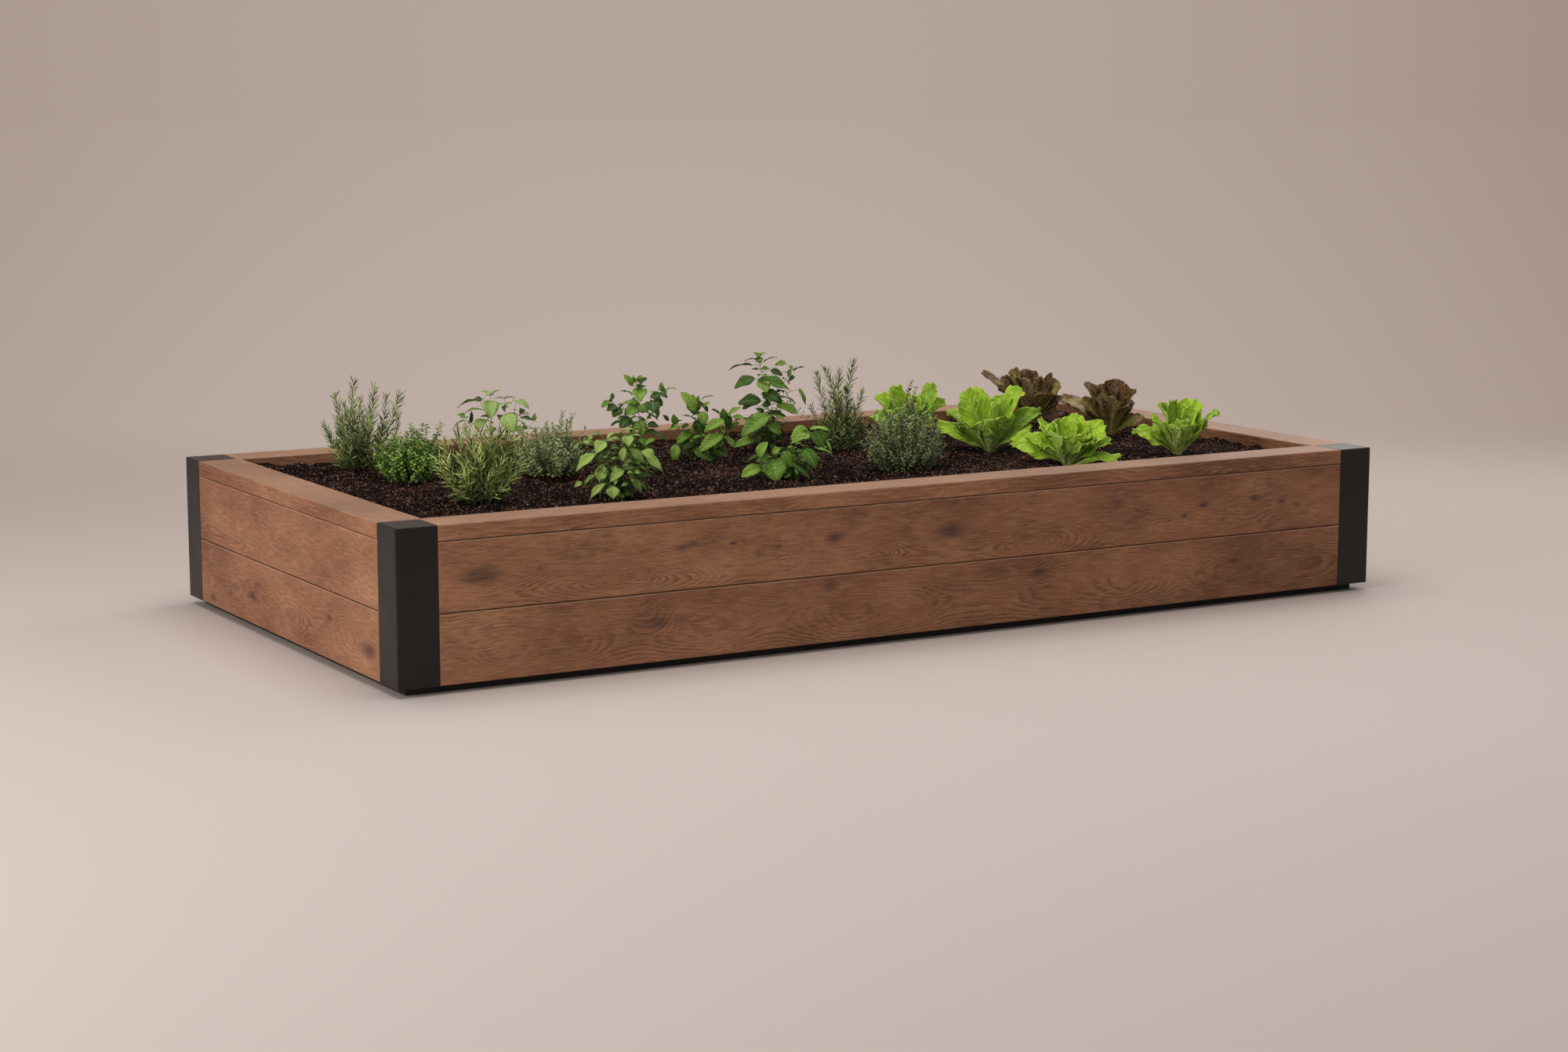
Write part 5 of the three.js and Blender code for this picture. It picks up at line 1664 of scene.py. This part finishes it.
@dataclass
class Planting:
    """Everything that grows in the bed."""

    needle: Leaf = Leaf(0.13, 0.5, 0.5, fold=0.35, droop=-0.30, ripple=0.0, thickness=0.04, steps=(4, 2))
    tiny: Leaf = Leaf(0.50, 0.5, 0.7, fold=0.3, droop=0.5, ripple=0.0, thickness=0.09, steps=(3, 2))
    round_leaf: Leaf = Leaf(0.78, 0.52, 0.6, fold=0.35, droop=0.9, ripple=0.0, thickness=0.06, steps=(3, 2))
    broad: Leaf = Leaf(0.62, 0.42, 0.8, fold=0.30, droop=1.0, ripple=0.025, petiole=0.12, steps=(8, 4))
    long_blade: Leaf = Leaf(0.6, 0.40, 0.85, fold=0.32, ripple=0.02, steps=(14, 6))
    smooth_blade: Leaf = Leaf(0.6, 0.44, 1.15, fold=0.34, ripple=0.03, steps=(14, 6))
    toothed_blade: Leaf = Leaf(0.7, 0.40, 0.70, fold=0.26, ripple=0.03, teeth=0.055, steps=(28, 6))

    def rosemaries(self) -> list[Herb]:
        """Three rosemaries."""
        usual = {"veins": 0.0, "show": 0.5, "quilt": 0.0002, "rough": 0.5, "dark": paint(9, 14, 4),
                 "mixed": 0.85}
        skin = LeafSkin("rosemary_leaf", paint(60, 80, 32), paint(188, 200, 124), paint(44, 60, 26),
                        paint(190, 200, 128), climb=0.42, **usual)
        pale = LeafSkin("rosemary_leaf_pale", paint(64, 86, 28), paint(208, 218, 126), paint(50, 66, 26),
                        paint(210, 218, 138), climb=0.44, **usual)
        stem = StemSkin("rosemary_stem", paint(92, 80, 50), paint(124, 130, 70))
        upright = Habit(self.needle, 28, 21, 5.6, 3, 50, 70, 40, 16, 0.03, 2.2, 40, 0.42)
        arching = Habit(self.needle, 32, 26, 6.6, 3, 50, 66, 42, 16, 0.02, 2.2, 40, 0.36)
        return [
            Herb("rosemary_left_back", upright, skin, stem,
                 Filling(Growth.TUFT, 22, 156, 136, 0.45, 0.9), 3),
            Herb("rosemary_left_front", arching, pale, stem,
                 Filling(Growth.TUFT, 18, 176, 120, 0.6, 0.95), 5),
            Herb("rosemary_centre", upright, skin, stem,
                 Filling(Growth.TUFT, 16, 116, 136, 0.45, 0.85), 7)]

    def bushes(self) -> list[Herb]:
        """Two thymes and an oregano."""
        usual = {"veins": 0.0, "show": 0.2, "quilt": 0.0002, "rough": 0.6}
        grey = LeafSkin("thyme_leaf", paint(86, 100, 56), paint(174, 184, 124), paint(170, 178, 134),
                        paint(180, 188, 140), dark=paint(16, 24, 9), climb=0.55, mixed=0.82, **usual)
        dusty = LeafSkin("thyme_leaf_dusty", paint(42, 52, 24), paint(178, 186, 128), paint(80, 90, 54),
                         paint(176, 184, 140), dark=paint(8, 12, 4), climb=0.50, mixed=0.85, **usual)
        fresh = LeafSkin("oregano_leaf", paint(56, 86, 24), paint(156, 188, 82), paint(110, 140, 66),
                         paint(160, 196, 100), 3.0, 0.2, 0.0003, 0.5, paint(8, 16, 3), 0.52, 0.78)
        twig = StemSkin("thyme_stem", paint(86, 72, 52), paint(112, 120, 76))
        green = StemSkin("oregano_stem", paint(82, 98, 46), paint(106, 134, 56))
        thyme = Habit(self.tiny, 9.0, 7.2, 5.0, 2, 90, 66, 40, 24, 0.12, 1.1, 40, 0.50)
        loose = Habit(self.tiny, 13.0, 10.0, 5.4, 2, 90, 62, 36, 22, 0.08, 1.2, 40, 0.45)
        oregano = Habit(self.round_leaf, 9.5, 8.5, 5.2, 2, 90, 82, 50, 24, 0.15, 1.4, 30, 0.40)
        return [
            Herb("thyme_left", loose, grey, twig, Filling(Growth.DOME, 115, 152, 104), 11),
            Herb("thyme_centre", thyme, dusty, twig, Filling(Growth.DOME, 210, 180, 142), 13, 8),
            Herb("oregano_left", oregano, fresh, green, Filling(Growth.DOME, 140, 150, 102), 17, 8)]

    def herbs(self) -> list[Herb]:
        """A sage, a basil and four mints."""
        sage = LeafSkin("sage_leaf", paint(88, 120, 50), paint(158, 184, 98), paint(160, 180, 112),
                        paint(182, 202, 124), 5.0, dark=paint(42, 62, 24))
        basil = LeafSkin("basil_leaf", paint(80, 112, 42), paint(150, 176, 84), paint(152, 174, 100),
                         paint(178, 200, 112), 5.0, dark=paint(34, 54, 20))
        mint = LeafSkin("mint_leaf", paint(72, 112, 34), paint(138, 172, 68), paint(126, 156, 80),
                        paint(156, 188, 92), quilt=0.0012, dark=paint(44, 74, 22))
        bright = LeafSkin("mint_leaf_bright", paint(78, 120, 32), paint(146, 182, 70), paint(134, 164, 84),
                          paint(166, 200, 96), show=0.38, quilt=0.0014, dark=paint(46, 78, 22))
        stem = StemSkin("herb_stem", paint(74, 88, 38), paint(104, 126, 54))
        light = Habit(self.broad, 34, 24, 20, 2, 90, 108, 56, 22, 0.30, 1.8, 20)
        full = Habit(self.broad, 36, 27, 13, 2, 90, 100, 52, 24, 0.18, 1.8, 20)
        return [Herb(node, habit, skin, stem, None, seed, drawn_leaf=blade)
                for node, habit, skin, seed, blade in (
                    ("sage_left_back", light, sage, 21, self.long_blade),
                    ("basil_left_front", full, basil, 23, self.smooth_blade),
                    ("mint_left", full, mint, 29, self.toothed_blade),
                    ("mint_centre", full, bright, 31, self.toothed_blade),
                    ("mint_tall", full, mint, 37, self.toothed_blade),
                    ("mint_front", full, bright, 41, self.toothed_blade))]

    def lettuces(self) -> list[Lettuce]:
        """Four green heads and two red ones."""
        green = LettuceSkin("lettuce_leaf", paint(206, 226, 98), paint(174, 210, 36), paint(78, 118, 12),
                            paint(192, 218, 70), paint(230, 238, 172), paint(120, 160, 60))
        red = LettuceSkin("lettuce_leaf_red", paint(180, 186, 88), paint(156, 142, 68), paint(92, 58, 38),
                          paint(140, 88, 70), paint(196, 176, 124), paint(100, 52, 44), 0.85)
        return [
            Lettuce("green_lettuce_back", green, 5, 168, 126, 51),
            Lettuce("green_lettuce_middle", green, 5, 190, 126, 53),
            Lettuce("green_lettuce_front", green, 6, 180, 104, 57),
            Lettuce("green_lettuce_right", green, 6, 130, 122, 59, 62.0),
            Lettuce("red_lettuce_back", red, 6, 150, 130, 61, 68.0, 3.2, 0.4),
            Lettuce("red_lettuce_right", red, 6, 140, 126, 67, 68.0, 3.2, 0.4)]

    def build(self) -> None:
        """Grows every plant."""
        tree = foliage_tree()
        for herb in (*self.rosemaries(), *self.bushes(), *self.herbs()):
            herb.build(tree)
        for head in self.lettuces():
            head.build()


# Studio


@dataclass(frozen=True)
class StudioFloor(Finish):
    """A pale floor that melts into the backdrop behind the bed, painted darker farther off as painted shade
    for the light falling off there.
    """

    name: str = "studio_floor"
    near: Colour = paint(214, 200, 192)
    far: Colour = paint(196, 181, 172)

    def shade(self, nodes: Nodes) -> Link:
        """Builds the floor."""
        away, right = Backdrop.away_and_right(nodes, nodes.place())
        # Painted shade: the floor's colour darkens from near to far, standing for the light's falloff.
        colour = nodes.blend(nodes.ease(away, -1.6, 1.4), self.near, self.far)
        lit = nodes.principled(colour, 0.9, {"Specular IOR Level": 0.1})
        depth = nodes.maths("MAXIMUM", away - CAMERA_PLACE.dot(SCREEN_AWAY), 1.0)
        sideways = (right - CAMERA_PLACE.dot(SCREEN_RIGHT)) / depth
        backdrop = nodes.out("ShaderNodeEmission", {"Color": Backdrop.colour(nodes, sideways, depth)})
        share = nodes.ease(away, 0.7, 3.4) * Backdrop.seen(nodes)
        return nodes.out("ShaderNodeMixShader", {0: share, 1: lit, 2: backdrop})


@dataclass(frozen=True)
class Backdrop:
    """The taupe backdrop far behind, and the even light that comes from all round."""

    ambient: float = 0.322
    sky: Colour = (1.0, 0.985, 0.97)

    @staticmethod
    def away_and_right(nodes: Nodes, place: Link) -> list[Link]:
        """How far a point lies away from the viewer and to the right."""
        x, y, _ = nodes.split(place)
        return [x * way.x + y * way.y for way in (SCREEN_AWAY, SCREEN_RIGHT)]

    @staticmethod
    def seen(nodes: Nodes) -> Link:
        """1 for a ray that shows the backdrop, straight, mirrored or through glass, and else 0."""
        path = nodes.node("ShaderNodeLightPath")
        straight, mirrored, through = (Link(nodes, path.outputs[f"Is {kind} Ray"])
                                       for kind in ("Camera", "Glossy", "Transmission"))
        return nodes.maths("MAXIMUM", straight, nodes.maths("MAXIMUM", mirrored, through))

    @staticmethod
    def colour(nodes: Nodes, sideways: Link, depth: Link | None = None) -> Link:
        """The backdrop's colour, darker at the sides, most at the right, and farther off: painted shade for
        the light that falls off there.

        Args:
            nodes: the tree.
            sideways: how far to the right a point is seen, over its distance.
            depth: its distance from the camera in metres, or none for the farthest.

        Returns:
            The colour.
        """
        # Painted shade: the backdrop darkens towards the sides, most at the right, and with distance.
        slope = nodes.limited(sideways, -0.4, 0.4)
        fall = slope * slope * 5.8 + slope * 0.43 + 0.2
        if depth:
            fall = fall - nodes.maths("DIVIDE", 2.25, depth)
        return nodes.blend(nodes.limited(fall, 0.0, 1.0), paint(189, 172, 163), paint(150, 131, 117))

    def build(self) -> None:
        """Sets up the world."""
        world = bpy.data.worlds.new("studio")
        bpy.context.scene.world = world
        world.use_nodes = True
        nodes = Nodes(world.node_tree)
        generated = nodes.out("ShaderNodeTexCoord", output="Generated")
        away, right = self.away_and_right(nodes, generated)
        sideways = right / nodes.maths("MAXIMUM", away, 0.3)
        light = nodes.out("ShaderNodeBackground", {"Color": self.sky, "Strength": self.ambient})
        shown = nodes.out("ShaderNodeBackground", {"Color": self.colour(nodes, sideways)})
        mixed = nodes.out("ShaderNodeMixShader", {0: self.seen(nodes), 1: light, 2: shown})
        nodes.node("ShaderNodeOutputWorld", {"Surface": mixed})


@dataclass
class Studio:
    """The floor, the soft lamps and the camera, as the photograph was taken."""

    floor_radius: float = 60.0
    camera_heading: float = 59.875
    lens: float = 67.565
    sensor: float = 36.0
    clip_end: float = 200.0

    def lamp(self, name: str, towards: Vector, distance: float, size: float, power: float) -> None:
        """Hangs a square soft box that shines on the bed.

        Args:
            name: the lamp's name.
            towards: the way from the bed to the lamp.
            distance: how far away it hangs.
            size: its side.
            power: its power in watts.
        """
        data = bpy.data.lights.new(name, "AREA")
        data.shape = "SQUARE"
        data.size = size
        data.energy = power
        lamp = bpy.data.objects.new(name, data)
        lamp.location = towards.normalized() * distance + UP * 0.2
        lamp.rotation_euler = towards.to_track_quat("Z", "Y").to_euler()
        bpy.context.scene.collection.objects.link(lamp)

    def camera(self) -> None:
        """Places the camera."""
        data = bpy.data.cameras.new("camera")
        data.lens = self.lens
        data.sensor_width = self.sensor
        data.clip_end = self.clip_end
        camera = bpy.data.objects.new("camera", data)
        camera.location = CAMERA_PLACE
        camera.rotation_euler = (math.pi / 2 - CAMERA_DIP, 0.0, math.radians(self.camera_heading - 90))
        bpy.context.scene.collection.objects.link(camera)
        bpy.context.scene.camera = camera

    def build(self) -> None:
        """Sets the stage."""
        shape = bmesh.new()
        bmesh.ops.create_circle(shape, cap_ends=True, radius=self.floor_radius, segments=96)
        mesh = bpy.data.meshes.new("floor")
        shape.to_mesh(mesh)
        shape.free()
        floor = add_object("floor", mesh)
        mesh.materials.append(StudioFloor().material())
        Backdrop().build()
        self.lamp("key", Vector((-0.10, 0.02, 0.99)), 5.0, 4.6, 152.0)
        self.lamp("side", Vector((-0.93, -0.28, 0.11)), 5.2, 3.0, 142.0)
        self.lamp("fill", Vector((0.80, 0.30, 0.52)), 4.0, 3.0, 46.0)
        self.camera()
        scene = bpy.context.scene
        scene.view_settings.view_transform = "Standard"


def main() -> None:
    """Builds the bed in its studio."""
    logging.basicConfig(level=logging.INFO, format="%(name)s: %(message)s")
    Studio().build()
    Box().build()
    Soil().build()
    Planting().build()


if __name__ == "__main__":
    main()
